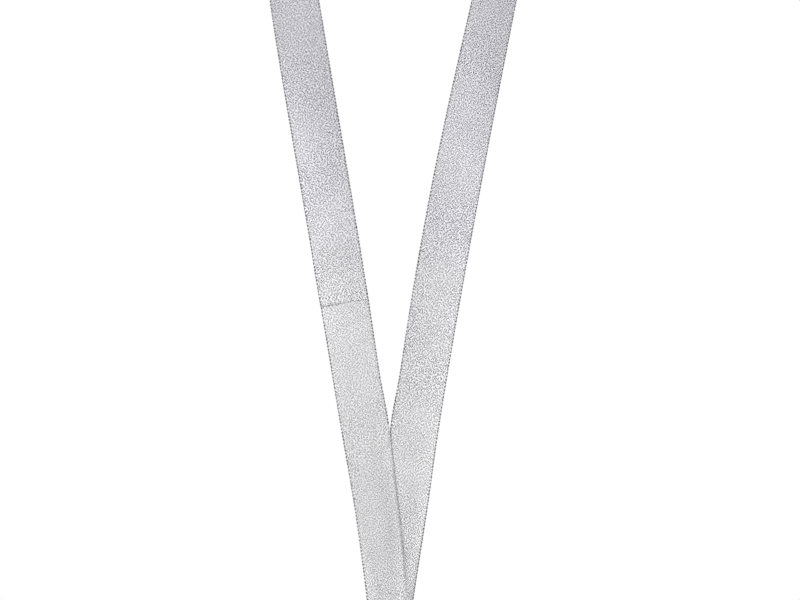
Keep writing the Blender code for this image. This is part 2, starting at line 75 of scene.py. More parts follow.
# The ribbon's strip and drape (metres). The drape is the CAD model's, but the strip is thinner,
# and SWELL, DRIFT and the TURN values move it a little away from the CAD strip.
RIBBON_WIDTH = 0.020
RIBBON_THICKNESS = 0.0003
CONE_HEIGHT = 0.480
SPREAD = 0.112
SPREAD_GROWTH = 0.203
SPREAD_ROUNDING = 0.010
LEAN = 0.0050
LEAN_HEIGHT = 0.400
LEAN_POWER = 6
GATHER_HEIGHT = 0.197
GATHER_LOSS = 0.27
GATHER_LIFT = 0.0025
SWELL = 0.0009
SWELL_DROP = 0.0887
SWELL_REACH = (0.018, 0.0122)
LAYER_OFFSET = 0.00016
LAYER_FADE_START = 0.090
LAYER_FADE_END = 0.150
BIGHT_RADIUS = 0.0016
BIGHT_BLEND = 0.015
LAP_START = 0.137
LAP_LENGTH = 0.010
LAP_OFFSET = 0.0005
LAP_EASE = 0.015
FILM_THICKNESS = 0.00018
DRIFT = 0.00054
DRIFT_HEIGHT = 0.054
DRIFT_REACH = (0.035, 0.0234)
LEFT_TURN = math.radians(13.0)
RIGHT_TURN = math.radians(4.0)
TURN_START = 0.165
TURN_END = 0.250
TURN_FADE = 0.290

# The strip's upper end is heat-cut and pressed flat onto the lap.
EDGE_PINCH = 0.6
END_LENGTH = 0.003
END_PINCH = 0.5
END_PRESS = 0.000235
END_LINE = 0.0003
# Painted shadow line along the cut end where it lies on the lap.
END_PAINTED_SHADOW = 0.40
# Painted shade on the strip: darker high on the right leg and a little lighter high on the left one, darker
# low down, and darker still low on the right leg. It stands in for how the light falls on the legs.
UPPER_PAINTED_SHADE = (-0.03, 0.08)
LOWER_PAINTED_SHADE = 0.08
RIGHT_PAINTED_SHADE = 0.13
UPPER_HEIGHTS = (0.12, 0.26)
LOWER_HEIGHT = 0.11
RIGHT_HEIGHT = 0.08
RIGHT_PLACES = (0.002, 0.010)
LEGS_MIDDLE = 0.02

# How finely the ribbon is meshed, and its selvedge.
ALONG_STEP = 0.0008
ACROSS_CELLS = 40
BEAD_PITCH = 0.0014
BEAD_SIZE = (0.00033, 0.00038, 0.0003)
BEAD_INSET = 0.00026
BEAD_CROSSING = 0.35
BEAD_STACKS = 6
BEAD_SLICES = 8
CREASE_DROP = 0.065
CREASE_HEIGHT = 0.00025
CREASE_WIDTH = 0.0011

# Weave: size of one float of foil yarn, how far the rows wander, and how they shine.
WEAVE_ACROSS = 0.00043
WEAVE_ALONG = 0.00043
WEAVE_WANDER = 0.0003
WEAVE_TONE = 0.75
WEAVE_CONTRAST = 1.05
WEAVE_ROUGHNESS = (0.52, 0.44)
WEAVE_EDGE_DARK = 0.10
# Towards the top the foil is made a few percent darker and a little bluer; the darkening is painted shade.
COOL_START = 0.18
COOL_END = 0.26
COOL_WANDER = 0.03
COOL_TINT = (0.93, 0.925, 0.97)

# Painted shade that stands in for a shallow fold down the front leg, where it crosses the back one.
FOLD_PLACE = (0.0003, 0.0510)
FOLD_SIZE = (0.0040, 0.026)
FOLD_SLOPE = 0.2
FOLD_PAINTED_SHADE = 0.14

# Selvedge colours, both far darker than the foil: painted shade of the dark dots between the yarn loops.
BEAD_DARK = (0.01, 0.01, 0.012)
BEAD_PALE = (0.22, 0.22, 0.23)

# Camera: it looks along +Y at the ribbon, square on.
LENS = 100.0
SENSOR = 36.0
VIEW_WIDTH = 0.3181
VIEW_X = 0.0041
VIEW_RISE = 0.1384
FLOOR_DROP = 0.020
FLOOR_RADIUS = 0.90
FLOOR_FADE = 0.30

# Light: a white surround, a little brighter from the sides, and three soft lamps.
WORLD_LIGHT = 0.42
WORLD_SIDES = 1.0
WORLD_TINT = (0.985, 0.98, 1.0)
KEY_PLACE = (0.8, -1.2, 0.02)
FILL_PLACE = (-0.8, -1.2, 0.02)
BACK_PLACE = (0.3, 1.3, 0.9)
KEY_POWER = 4.0
FILL_POWER = 4.7
BACK_POWER = 4.0
FRONT_LIGHT_SIZE = 0.4
BACK_LIGHT_SIZE = 0.8


# ---------------------------------------------------------------- mesh helpers


def add_object(name, data):
    """Put a mesh, a light or a camera into the scene."""
    item = bpy.data.objects.new(name, data)
    bpy.context.scene.collection.objects.link(item)
    return item


def mesh_object(name, points, faces):
    """A smooth object from lists or arrays of points and faces."""
    mesh = bpy.data.meshes.new(name)
    mesh.from_pydata([tuple(point) for point in points], [], [tuple(face) for face in faces])
    mesh.update()
    mesh.shade_smooth()
    return add_object(name, mesh)


def bmesh_shape(points, faces):
    """A bmesh from points and faces."""
    shape = bmesh.new()
    corners = [shape.verts.new(point) for point in points]
    for face in faces:
        shape.faces.new([corners[index] for index in face])
    return shape


def bmesh_object(name, shape, sharp=35.0):
    """An object from a bmesh, with smooth shading below the sharp angle."""
    bmesh.ops.recalc_face_normals(shape, faces=shape.faces)
    mesh = bpy.data.meshes.new(name)
    shape.to_mesh(mesh)
    shape.free()
    mesh.shade_smooth()
    mesh.set_sharp_from_angle(angle=math.radians(sharp))
    return add_object(name, mesh)


def grid_faces(rows, columns, closed_rows=False, closed_columns=False, base=0):
    """Quads of a grid of points stored row by row."""
    row_count = rows if closed_rows else rows - 1
    column_count = columns if closed_columns else columns - 1
    i, j = np.meshgrid(np.arange(row_count), np.arange(column_count), indexing="ij")
    i, j = i.ravel(), j.ravel()
    ahead, beside = (i + 1) % rows, (j + 1) % columns
    near, far = i * columns, ahead * columns
    return np.stack([near + j, near + beside, far + beside, far + j], 1) + base


def capped_disc(name, points, sides, front, back):
    """A disc from rings of points, closed by a fan to a centre on each face."""
    count = len(points) // sides
    faces = [tuple(face) for face in grid_faces(count, sides, closed_columns=True)]
    last = (count - 1) * sides
    for k in range(sides):
        following = (k + 1) % sides
        faces.append((count * sides, following, k))
        faces.append((count * sides + 1, last + k, last + following))
    item = mesh_object(name, np.concatenate([points, np.array([front, back])]), faces)
    shape = bmesh.new()
    shape.from_mesh(item.data)
    bmesh.ops.recalc_face_normals(shape, faces=shape.faces)
    shape.to_mesh(item.data)
    shape.free()
    return item


def apply_modifiers(item):
    """Replace an object's mesh by the one its modifiers make."""
    graph = bpy.context.evaluated_depsgraph_get()
    mesh = bpy.data.meshes.new_from_object(item.evaluated_get(graph))
    item.modifiers.clear()
    item.data = mesh
    return item


def carve(target, other, operation):
    """Apply one exact Boolean and remove the other object."""
    modifier = target.modifiers.new("carve", "BOOLEAN")
    modifier.operation = operation
    modifier.solver = "EXACT"
    modifier.object = other
    bpy.context.view_layer.update()
    apply_modifiers(target)
    bpy.data.objects.remove(other, do_unlink=True)
    return target


def smooth_by_angle(item, degrees):
    """Smooth shading with hard edges above an angle."""
    item.data.shade_smooth()
    item.data.set_sharp_from_angle(angle=math.radians(degrees))
    return item


def bevel(item, width, segments):
    """Round the sharp corners and keep the result."""
    modifier = item.modifiers.new("bevel", "BEVEL")
    modifier.width = width
    modifier.segments = segments
    modifier.limit_method = "ANGLE"
    modifier.angle_limit = math.radians(SHARP_CORNER)
    modifier.miter_outer = "MITER_ARC"
    bpy.context.view_layer.update()
    return apply_modifiers(item)


def polar(radius, degrees):
    """A point in the XZ plane."""
    angle = math.radians(degrees)
    return Vector((radius * math.cos(angle), 0.0, radius * math.sin(angle)))


def smooth_step(start, end, value):
    """0 before start, 1 after end, with an even slope between them. Works on numbers and arrays."""
    share = np.clip((value - start) / (end - start), 0.0, 1.0)
    return share * share * (3.0 - 2.0 * share)


def lathe(name, profile, segments, axis="Y", closed=False, sharp=35.0):
    """Turn a profile of (radius, place along the axis) round the axis."""
    radii = np.array([point[0] for point in profile])
    places = np.array([point[1] for point in profile])
    turn = np.arange(segments) * math.tau / segments
    cosine, sine = np.outer(np.cos(turn), radii), np.outer(np.sin(turn), radii)
    along = np.tile(places, (segments, 1))
    order = (cosine, along, sine) if axis == "Y" else (cosine, sine, along)
    points = np.stack(order, -1).reshape(-1, 3)
    faces = grid_faces(segments, len(profile), closed_rows=True, closed_columns=closed)
    shape = bmesh_shape(points, faces)
    bmesh.ops.remove_doubles(shape, verts=shape.verts, dist=1e-7)
    bmesh.ops.dissolve_degenerate(shape, dist=1e-7, edges=shape.edges)
    return bmesh_object(name, shape, sharp)


def plate(name, outline, half_depth):
    """Extrude an XZ outline to both sides of the plane Y = 0."""
    shape = bmesh.new()
    face = shape.faces.new([shape.verts.new((point.x, -half_depth, point.z)) for point in outline])
    extruded = bmesh.ops.extrude_face_region(shape, geom=[face])
    moved = [item for item in extruded["geom"] if isinstance(item, bmesh.types.BMVert)]
    bmesh.ops.translate(shape, verts=moved, vec=(0.0, 2.0 * half_depth, 0.0))
    return bmesh_object(name, shape)


def sweep(name, path, radius, sides, closed=False):
    """A round wire along a path. radius is one number or one for each point."""
    path = np.array([tuple(point) for point in path], float)
    count = len(path)
    radii = np.broadcast_to(np.asarray(radius, float), (count,))
    if closed:
        tangents = np.roll(path, -1, 0) - np.roll(path, 1, 0)
    else:
        tangents = np.gradient(path, axis=0)
    tangents /= np.linalg.norm(tangents, axis=1)[:, None]
    across = np.cross(tangents[0], (0.0, 1.0, 0.0))
    if np.linalg.norm(across) < 1e-6:
        across = np.array((1.0, 0.0, 0.0))
    turn = np.arange(sides) * math.tau / sides
    rings = []
    for point, tangent, reach in zip(path, tangents, radii):
        across = across - tangent * (across @ tangent)
        across = across / np.linalg.norm(across)
        other = np.cross(tangent, across)
        rings.append(point + reach * (np.outer(np.cos(turn), across) + np.outer(np.sin(turn), other)))
    faces = [tuple(face) for face in grid_faces(count, sides, closed_rows=closed, closed_columns=True)]
    if not closed:
        faces.append(tuple(range(sides - 1, -1, -1)))
        faces.append(tuple(range((count - 1) * sides, count * sides)))
    return bmesh_object(name, bmesh_shape(np.concatenate(rings), faces), 50.0)


def move(item, place):
    """Shift an object's own mesh."""
    item.data.transform(Matrix.Translation(Vector(place)))
    return item


def join(name, items):
    """Join meshes into one object."""
    shape = bmesh.new()
    for item in items:
        shape.from_mesh(item.data)
        bpy.data.objects.remove(item, do_unlink=True)
    return bmesh_object(name, shape)


def finish_piece(item, body, slot, look, *replaced):
    """Give a piece its look and its body, and hide the CAD nodes that it stands for."""
    item.data.materials.clear()
    item.data.materials.append(look)
    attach(item, body)
    if replaced:
        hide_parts(*replaced)
    return item


# ---------------------------------------------------------------- material helpers


class Tree:
    """A short way to write the nodes of a material or of the world."""

    def __init__(self, material, shader="Principled BSDF", output="Material Output"):
        material.use_nodes = True
        self.material = material
        self.tree = material.node_tree
        self.shader = self.tree.nodes[shader]
        self.output = self.tree.nodes[output]

    def node(self, kind, output=0, inputs=None, **settings):
        """Add a node and return one of its outputs."""
        item = self.tree.nodes.new("ShaderNode" + kind)
        for key, value in settings.items():
            setattr(item, key, value)
        for key, value in (inputs or {}).items():
            self.set(item.inputs[key], value)
        return item.outputs[output]

    def set(self, socket, value):
        if isinstance(value, bpy.types.NodeSocket):
            self.tree.links.new(value, socket)
        else:
            socket.default_value = value

    def math(self, operation, first, second=0.0, third=0.0):
        """One Math node."""
        return self.node("Math", inputs={0: first, 1: second, 2: third}, operation=operation)

    def ramp(self, value, low, high, start=0.0, end=1.0):
        """Map start..end of a value to low..high, clamped."""
        inputs = {"Value": value, "From Min": start, "From Max": end, "To Min": low, "To Max": high}
        return self.node("MapRange", inputs=inputs, clamp=True)

    def add(self, first, second):
        return self.math("ADD", first, second)

    def less(self, first, second):
        return self.math("SUBTRACT", first, second)

    def times(self, first, second):
        return self.math("MULTIPLY", first, second)

    def place(self):
        """Where a point lies on its own object."""
        return self.node("TexCoord", output="Object")

    def noise(self, place, scale, detail, output=0):
        """Cloudy noise."""
        inputs = {"Vector": place, "Scale": scale, "Detail": detail}
        return self.node("TexNoise", output=output, inputs=inputs)

    def recess(self, distance, samples):
        """1 on open surfaces, less in corners and grooves."""
        inputs = {"Distance": distance}
        return self.node("AmbientOcclusion", output="AO", inputs=inputs, samples=samples)

    def split(self, vector):
        """The three parts of a vector."""
        item = self.tree.nodes.new("ShaderNodeSeparateXYZ")
        self.set(item.inputs[0], vector)
        return item.outputs[0], item.outputs[1], item.outputs[2]

    def mix(self, share, first, second):
        """Mix two colours."""
        item = self.tree.nodes.new("ShaderNodeMix")
        item.data_type = "RGBA"
        self.set(item.inputs["Factor"], share)
        for key, colour in (("A", first), ("B", second)):
            self.set(item.inputs[key], (*colour, 1.0) if isinstance(colour, tuple) else colour)
        return item.outputs["Result"]

    def principled(self, **values):
        for key, value in values.items():
            value = (*value, 1.0) if isinstance(value, tuple) else value
            self.set(self.shader.inputs[key.replace("_", " ")], value)

    def bump(self, height, distance):
        inputs = {"Height": height, "Distance": distance, "Strength": 1.0}
        self.set(self.shader.inputs["Normal"], self.node("Bump", inputs=inputs))


def lurex_material():
    """Woven metallic ribbon: each float of foil yarn is a small rounded facet with its own shine."""
    look = Tree(bpy.data.materials.new("lurex_weave"))
    strip = look.node("Attribute", output="Vector", attribute_name="strip")
    shifted = look.node(
        "VectorMath",
        inputs={0: look.noise(strip, 700.0, 1.0, "Color"), 1: (WEAVE_WANDER, WEAVE_WANDER, 0.0), 2: strip},
        operation="MULTIPLY_ADD",
    )
    across, along, side = look.split(shifted)
    row_place = look.math("DIVIDE", along, WEAVE_ALONG)
    row = look.math("FLOOR", row_place)
    column_place = look.math("DIVIDE", across, WEAVE_ACROSS)
    column = look.math("FLOOR", column_place)

    def chance(column, row):
        """A random number for each float of yarn."""
        cell = look.node("CombineXYZ", inputs={0: column, 1: row, 2: side})
        inputs = {"Vector": cell}
        return look.node("TexWhiteNoise", output="Value", inputs=inputs, noise_dimensions="3D")

    def rise(place):
        """0 along the middle of a float, 1 at its sides."""
        aside = look.math("ABSOLUTE", look.less(look.math("FRACT", place), 0.5))
        return look.math("POWER", look.times(aside, 2.0), 4.0)

    # Each float's colour is made lighter or darker at random against its neighbours: partly the foil's own
    # uneven tone, partly painted glints and dark floats that stand in for how each float catches the light.
    shine = chance(column, row)
    neighbours = 0.0
    for step_across, step_along in ((1.0, 0.0), (-1.0, 0.0), (0.0, 1.0), (0.0, -1.0)):
        near = chance(look.add(column, step_across), look.add(row, step_along))
        neighbours = look.add(neighbours, look.times(near, 0.25))
    rounded = look.add(rise(column_place), rise(row_place))

    patch = look.noise(strip, 24.0, 2.0)
    contrast = look.ramp(patch, WEAVE_CONTRAST * 0.85, WEAVE_CONTRAST * 1.2, 0.40, 0.64)
    soft = look.ramp(look.noise(strip, 70.0, 3.0), -0.03, 0.03, 0.3, 0.7)
    spread = look.times(look.less(shine, neighbours), contrast)
    # Painted shade along the sides of each float, where the floats meet.
    value = look.less(look.add(spread, WEAVE_TONE), look.times(rounded, 0.10))
    value = look.add(value, soft)
    # Painted shade: the strip's shade attribute darkens the foil point by point.
    shade = look.node("Attribute", output="Fac", attribute_name="shade")
    value = look.times(value, look.less(1.0, shade))

    edge = look.ramp(look.math("ABSOLUTE", across), 0.0, WEAVE_EDGE_DARK, 0.0090, 0.0098)
    value = look.times(value, look.less(1.0, edge))
    # Painted shade at the top: above COOL_START the foil colour darkens a little and turns bluer.
    height = look.split(look.node("NewGeometry"))[2]
    wander = look.ramp(patch, -COOL_WANDER, COOL_WANDER, 0.3, 0.7)
    cool = look.ramp(look.add(height, wander), 0.0, 1.0, COOL_START, COOL_END)
    foil = look.mix(cool, (1.0, 0.992, 1.0), COOL_TINT)
    tone = look.mix(value, (0.02, 0.02, 0.022), foil)

    look.principled(Base_Color=tone, Metallic=0.6, Roughness=look.ramp(shine, *WEAVE_ROUGHNESS))
    look.bump(rounded, -0.00002)
    return look.material


def selvedge_material():
    """The yarn loops along both edges of the ribbon, coloured far darker than the foil: painted shade of the
    dark dots between the loops.
    """
    look = Tree(bpy.data.materials.new("selvedge_yarn"))
    place = look.place()
    twist = look.noise(place, 900.0, 1.0)
    # Lighter and darker along the selvedge: painted shade between the loops, with patches of random tone.
    tone_and_loop_shade = look.add(look.noise(place, 45.0, 2.0), look.times(look.less(twist, 0.5), 0.8))
    tone = look.mix(look.ramp(tone_and_loop_shade, 0.0, 1.0, 0.32, 0.68), BEAD_DARK, BEAD_PALE)
    look.principled(Base_Color=tone, Metallic=0.4, Roughness=0.5)
    look.bump(twist, 0.00004)
    return look.material


def film_material():
    """Cloudy hot-melt film, also used for the adhesive disc."""
    look = Tree(bpy.data.materials.new("bond_film"))
    haze = look.noise(look.place(), 900.0, 3.0)
    tone = look.mix(haze, (0.62, 0.62, 0.60), (0.80, 0.80, 0.78))
    look.principled(Base_Color=tone, Roughness=look.ramp(haze, 0.35, 0.6))
    look.bump(haze, 0.00002)
    return look.material


def plated_material(name, tone, roughness, flecks):
    """Bright plating: faint polishing lines, soft cloudy worn patches, and painted shade that darkens its
    recesses.
    """
    look = Tree(bpy.data.materials.new(name))
    place = look.place()
    cloud = look.noise(place, 420.0, 4.0)
    lines = look.noise(place, 5200.0, 2.0)
    # Painted shade: the colour darkens to about a third in corners and recesses, as the occlusion node finds
    # them.
    open_share = look.ramp(look.recess(0.0012, 6), 0.0, 1.0, 0.15, 0.75)
    dark = tuple(channel * 0.35 for channel in tone)
    look.principled(Base_Color=look.mix(open_share, dark, tone), Metallic=1.0)
    look.principled(Roughness=look.ramp(cloud, roughness, roughness + 0.12, 0.3, 0.7))
    look.bump(look.add(look.times(lines, flecks), cloud), 0.000012)
    return look.material


def antique_material():
    """Cast zinc with antique silver: bright worn tops, dark recesses, fine cast grain."""
    look = Tree(bpy.data.materials.new("antique_silver"))
    place = look.place()
    grain = look.noise(place, 3800.0, 3.0)
    cloud = look.noise(place, 260.0, 5.0)
    worn = look.add(look.recess(0.0016, 8), look.times(look.less(cloud, 0.5), 0.25))
    depth = look.split(place)[1]
    below = look.ramp(depth, 1.0, 0.0, -0.00028, -0.00006)
    sunk = look.times(below, look.ramp(depth, 0.0, 1.0, -0.00042, -0.00034))
    worn = look.less(worn, look.times(sunk, BACK_TARNISH))
    share = look.ramp(worn, 0.0, 1.0, 0.30, 0.85)
    look.principled(Base_Color=look.mix(share, (0.045, 0.044, 0.042), (0.56, 0.555, 0.545)))
    look.principled(Metallic=look.ramp(share, 0.55, 1.0), Roughness=look.ramp(share, 0.62, 0.26))
    look.bump(look.add(grain, look.times(cloud, 0.8)), 0.000035)
    return look.material


def enamel_material():
    """Dark soft enamel with faint metallic flakes."""
    look = Tree(bpy.data.materials.new("graphite_enamel"))
    place = look.place()
    cloud = look.noise(place, 150.0, 3.0)
    flake = look.node("TexVoronoi", inputs={"Vector": place, "Scale": 5200.0})
    glint = look.ramp(flake, 1.0, 0.0, 0.0, 0.22)
    tone = look.mix(look.times(glint, 0.35), (0.020, 0.023, 0.028), (0.16, 0.17, 0.19))
    look.principled(Base_Color=tone, Roughness=0.22, Coat_Weight=1.0, Coat_Roughness=0.04)
    look.bump(cloud, 0.00012)
    return look.material


def insert_material():
    """Thin metal disc, brushed round its centre: bright where it is raised, dark in the field."""
    look = Tree(bpy.data.materials.new("brushed_disc"))
    raised = look.node("Attribute", output="Fac", attribute_name="raised")
    x, _, z = look.split(look.place())
    radius = look.math("SQRT", look.add(look.math("POWER", x, 2.0), look.math("POWER", z, 2.0)))
    inputs = {"W": radius, "Scale": 9000.0, "Detail": 3.0}
    rings = look.node("TexNoise", inputs=inputs, noise_dimensions="1D")
    bright = look.mix(rings, (0.58, 0.59, 0.61), (0.82, 0.83, 0.84))
    look.principled(Base_Color=look.mix(raised, (0.10, 0.11, 0.13), bright))
    look.principled(Metallic=1.0, Roughness=look.ramp(rings, 0.24, 0.42))
    look.bump(rings, 0.00001)
    return look.material


def resin_material():
    """Clear casting resin with a barely rippled surface."""
    look = Tree(bpy.data.materials.new("clear_resin"))
    ripple = look.noise(look.place(), 90.0, 1.0)
    look.principled(Base_Color=(0.97, 0.98, 0.98), Transmission_Weight=1.0, IOR=1.46)
    look.principled(Roughness=look.ramp(ripple, 0.0, 0.03))
    look.bump(ripple, 0.00005)
    return look.material


def floor_material():
    """Pale floor that fades out at its rim."""
    look = Tree(bpy.data.materials.new("pale_floor"))
    place = look.place()
    grain = look.noise(place, 40.0, 3.0)
    look.principled(Base_Color=look.mix(grain, (0.90, 0.90, 0.90), (0.94, 0.94, 0.94)), Roughness=0.7)
    reach = look.node("VectorMath", output="Value", inputs={0: place}, operation="LENGTH")
    see = look.ramp(reach, 0.0, 1.0, FLOOR_FADE, FLOOR_RADIUS * 0.98)
    clear = look.node("BsdfTransparent")
    both = look.node("MixShader", inputs={0: see, 1: look.shader.outputs[0], 2: clear})
    look.set(look.output.inputs["Surface"], both)
    return look.material


# ---------------------------------------------------------------- ribbon


def strip_offset(drop):
    """How far the strip's centre line has moved sideways on the unrolled cone."""
    rounding = np.hypot(drop, SPREAD_ROUNDING) - SPREAD_ROUNDING
    return SPREAD * rounding + SPREAD_GROWTH * drop * drop


def strip_slope(drop):
    """Sideways travel for each metre of height, on the unrolled cone."""
    return SPREAD * drop / np.hypot(drop, SPREAD_ROUNDING) + 2.0 * SPREAD_GROWTH * drop


def nape_drop():
    """The height above the eye bar at which the strip runs level, behind the neck."""
    low, high = SHOULDER.z - BAR.z, CONE_HEIGHT * 1.2
    for _ in range(60):
        middle = (low + high) / 2.0
        level = strip_offset(middle) * strip_slope(middle) - (CONE_HEIGHT - middle)
        low, high = (middle, high) if level < 0.0 else (low, middle)
    return low


NAPE_DROP = nape_drop()
CONE_SINE = math.atan2(strip_offset(NAPE_DROP), CONE_HEIGHT - NAPE_DROP) / math.pi
CONE_COSINE = math.sqrt(1.0 - CONE_SINE**2)


def on_cone(down, sideways, side):
    """Roll points of the unrolled strip onto the cone: places and outward normals."""
    reach = np.hypot(down, sideways)
    turn = np.arctan2(sideways, down) / CONE_SINE
    x = side * reach * CONE_SINE * np.sin(turn)
    y = reach * CONE_COSINE * CONE_SINE * (1.0 - np.cos(turn))
    z = CONE_HEIGHT - reach * (CONE_COSINE**2 + CONE_SINE**2 * np.cos(turn))
    x = x + LEAN * np.sin(0.5 * math.pi * np.clip(z / LEAN_HEIGHT, 0.0, 1.0)) ** LEAN_POWER
    normal_x = side * CONE_COSINE * np.sin(turn)
    normal_y = -np.cos(turn) * CONE_COSINE**2 - CONE_SINE**2
    normal_z = CONE_SINE * CONE_COSINE * (1.0 - np.cos(turn))
    return np.stack([x, y + BAR.y, z + BAR.z], -1), np.stack([normal_x, normal_y, normal_z], -1)


def gather(drop):
    """Share of the gathering left: 1 at the bar, 0 where the ribbon lies flat."""
    return np.clip(1.0 - drop / GATHER_HEIGHT, 0.0, 1.0) ** 2


def edge_lift(drop, across):
    """How far a gathered edge stands away from the bar."""
    return GATHER_LIFT * gather(drop) ** 2 * np.abs(across) ** 3


def inner_swell(drop, across):
    """How far a leg's inner edge stands out where the two legs start to lie on each other."""
    share = drop - SWELL_DROP
    share = share / np.where(share < 0.0, *SWELL_REACH)
    return SWELL * np.exp(-share * share) * np.clip(-across, 0.0, 1.0) ** 2


def layer_offset(drop):
    """Distance of a leg's middle surface from the plane between the two legs."""
    fade = 1.0 - smooth_step(LAYER_FADE_START, LAYER_FADE_END, drop)
    near_bar = np.clip(1.0 - drop / BIGHT_BLEND, 0.0, 1.0) ** 2
    return LAYER_OFFSET * fade + (BIGHT_RADIUS - LAYER_OFFSET) * near_bar


def crease(side, drop):
    """A faint packing crease low on the right leg."""
    share = (drop - CREASE_DROP) / CREASE_WIDTH
    return CREASE_HEIGHT * np.exp(-share * share) if side > 0 else 0.0 * drop


def drift(points):
    """Move gathered points a little sideways, as the cloth bunches off centre above the bar."""
    above = points[..., 2] - BAR.z - DRIFT_HEIGHT
    share = above / np.where(above < 0.0, *DRIFT_REACH)
    points[..., 0] += DRIFT * np.exp(-share * share)
    return points


def face_turn(side, drop):
    """How far a leg is turned about its own length, so that both look a little to one side."""
    turn = LEFT_TURN if side < 0 else RIGHT_TURN
    return turn * smooth_step(TURN_START, TURN_END, drop) * (1.0 - smooth_step(TURN_FADE, NAPE_DROP, drop))


def turned(points, centre, angle):
    """Turn points about the upright line through their own centre."""
    x, y = points[..., 0] - centre[..., 0], points[..., 1] - centre[..., 1]
    points[..., 0] = centre[..., 0] + x * np.cos(angle) - y * np.sin(angle)
    points[..., 1] = centre[..., 1] + x * np.sin(angle) + y * np.cos(angle)
    return points


def leg_points(side, drop, across, raise_by):
    """Points of one leg. side is -1 for the front, left leg and 1 for the back, right leg."""
    slope = strip_slope(drop)
    length = np.hypot(1.0, slope)
    half = 0.5 * RIBBON_WIDTH * across * (1.0 - GATHER_LOSS * gather(drop))
    shift = half - inner_swell(drop, across)
    down = CONE_HEIGHT - drop + shift * slope / length
    points, normals = on_cone(down, strip_offset(drop) + shift / length, side)
    points[..., 1] += side * (layer_offset(drop) + edge_lift(drop, across))
    centre = on_cone(CONE_HEIGHT - drop, strip_offset(drop), side)[0]
    points = turned(points, centre, face_turn(side, drop))
    raised = raise_by + crease(side, drop)
    return drift(points + normals * raised[..., None])


def bight_points(turn, across):
    """Points of the turn round the eye bar, from the front leg (0) to the back leg (pi)."""
    half = 0.5 * RIBBON_WIDTH * (1.0 - GATHER_LOSS)
    reach = BIGHT_RADIUS + edge_lift(0.0 * turn, across)
    y = BAR.y - reach * np.cos(turn)
    return drift(np.stack([half * across, y, BAR.z - reach * np.sin(turn)], -1))


def lap_raise(drop):
    """How far the strip's upper end stands in front of its lower end at the lap."""
    top = LAP_START + LAP_LENGTH
    pressed = END_PRESS * (1.0 - smooth_step(LAP_START, LAP_START + END_LENGTH, drop))
    return (LAP_OFFSET - pressed) * (1.0 - smooth_step(top, top + LAP_EASE, drop))


def places(start, end, step):
    """Even places from start to end."""
    return np.linspace(start, end, max(2, int(round(abs(end - start) / step)) + 1))


def strip_surface(across):
    """The strip's middle surface from its end under the lap, round bar and neck, to its other end.

    Returns a grid of points, one row for each place along the strip.
    """
    lower = places(LAP_START + LAP_LENGTH, 0.0, ALONG_STEP)
    turn = places(0.0, math.pi, ALONG_STEP / BIGHT_RADIUS * 0.6)[1:-1]
    right = places(0.0, NAPE_DROP, ALONG_STEP)
    left = places(NAPE_DROP, LAP_START, ALONG_STEP)[1:]
    left = np.insert(left, len(left) - 1, LAP_START + END_LINE)

    def rows(values):
        return np.broadcast_to(values[:, None], (len(values), len(across)))

    grids = [
        leg_points(-1, rows(lower), -across[None, :], 0.0 * rows(lower)),
        bight_points(rows(turn), np.broadcast_to(across, (len(turn), len(across)))),
        leg_points(1, rows(right), across[None, :], 0.0 * rows(right)),
        leg_points(-1, rows(left), across[None, :], lap_raise(rows(left))),
    ]
    return np.concatenate(grids)


def painted_fold_mask(grid):
    """How much of the painted fold shade each point of the front leg gets, 0 to 1."""
    above = grid[..., 2] - BAR.z - FOLD_PLACE[1]
    aside = (grid[..., 0] - BAR.x - FOLD_PLACE[0] + FOLD_SLOPE * above) / FOLD_SIZE[0]
    above = above / FOLD_SIZE[1]
    front = np.arange(len(grid)) < len(places(LAP_START + LAP_LENGTH, 0.0, ALONG_STEP))
    return np.exp(-aside * aside - above * above) * front[:, None]


def painted_strip_shade(grid, across):
    """Painted shade and light on the strip, point by point: how much darker than plain foil it is made, by
    height and leg (a little lighter high on the left leg), in the fold and along the cut end.
    """
    x = grid[..., 0]
    height = grid[..., 2] - BAR.z
    left, right = UPPER_PAINTED_SHADE
    upper = left + (right - left) * smooth_step(-LEGS_MIDDLE, LEGS_MIDDLE, x)
    low = LOWER_PAINTED_SHADE * (1.0 - smooth_step(0.0, LOWER_HEIGHT, height))
    shade = FOLD_PAINTED_SHADE * painted_fold_mask(grid)
    shade += upper * smooth_step(*UPPER_HEIGHTS, height) + low
    shade += RIGHT_PAINTED_SHADE * (1.0 - smooth_step(0.0, RIGHT_HEIGHT, height)) * smooth_step(*RIGHT_PLACES, x)
    # Painted shadow line along the cut end at the lap, darkest towards the leg's outer edge.
    shade[-2:] += END_PAINTED_SHADOW * (0.45 + 0.55 * smooth_step(-0.4, 0.1, across))
    return shade


def surface_normals(grid):
    """Unit normals of a grid of points."""
    along = np.gradient(grid, axis=0)
    across = np.gradient(grid, axis=1)
    normals = np.cross(across, along)
    return normals / np.linalg.norm(normals, axis=-1)[..., None]


def thicken(grid, normals, half):
    """Points of a closed strip: the outer grid, then the inner one, and the faces that close them."""
    rows, columns = grid.shape[:2]
    outer = (grid + normals * half).reshape(-1, 3)
    inner = (grid - normals * half).reshape(-1, 3)
    count = rows * columns
    faces = [grid_faces(rows, columns)[:, ::-1], grid_faces(rows, columns) + count]
    numbers = np.arange(count).reshape(rows, columns)
    for edge, order in ((numbers[:, 0], -1), (numbers[:, -1], 1), (numbers[0], 1), (numbers[-1], -1)):
        side = np.stack([edge[:-1], edge[1:], edge[1:] + count, edge[:-1] + count], 1)
        faces.append(side[:, ::order])
    return np.concatenate([outer, inner]), np.concatenate(faces)


def blend_at_shoulder(item):
    """Bake a ribbon piece's placement into its mesh."""
    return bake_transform(item)


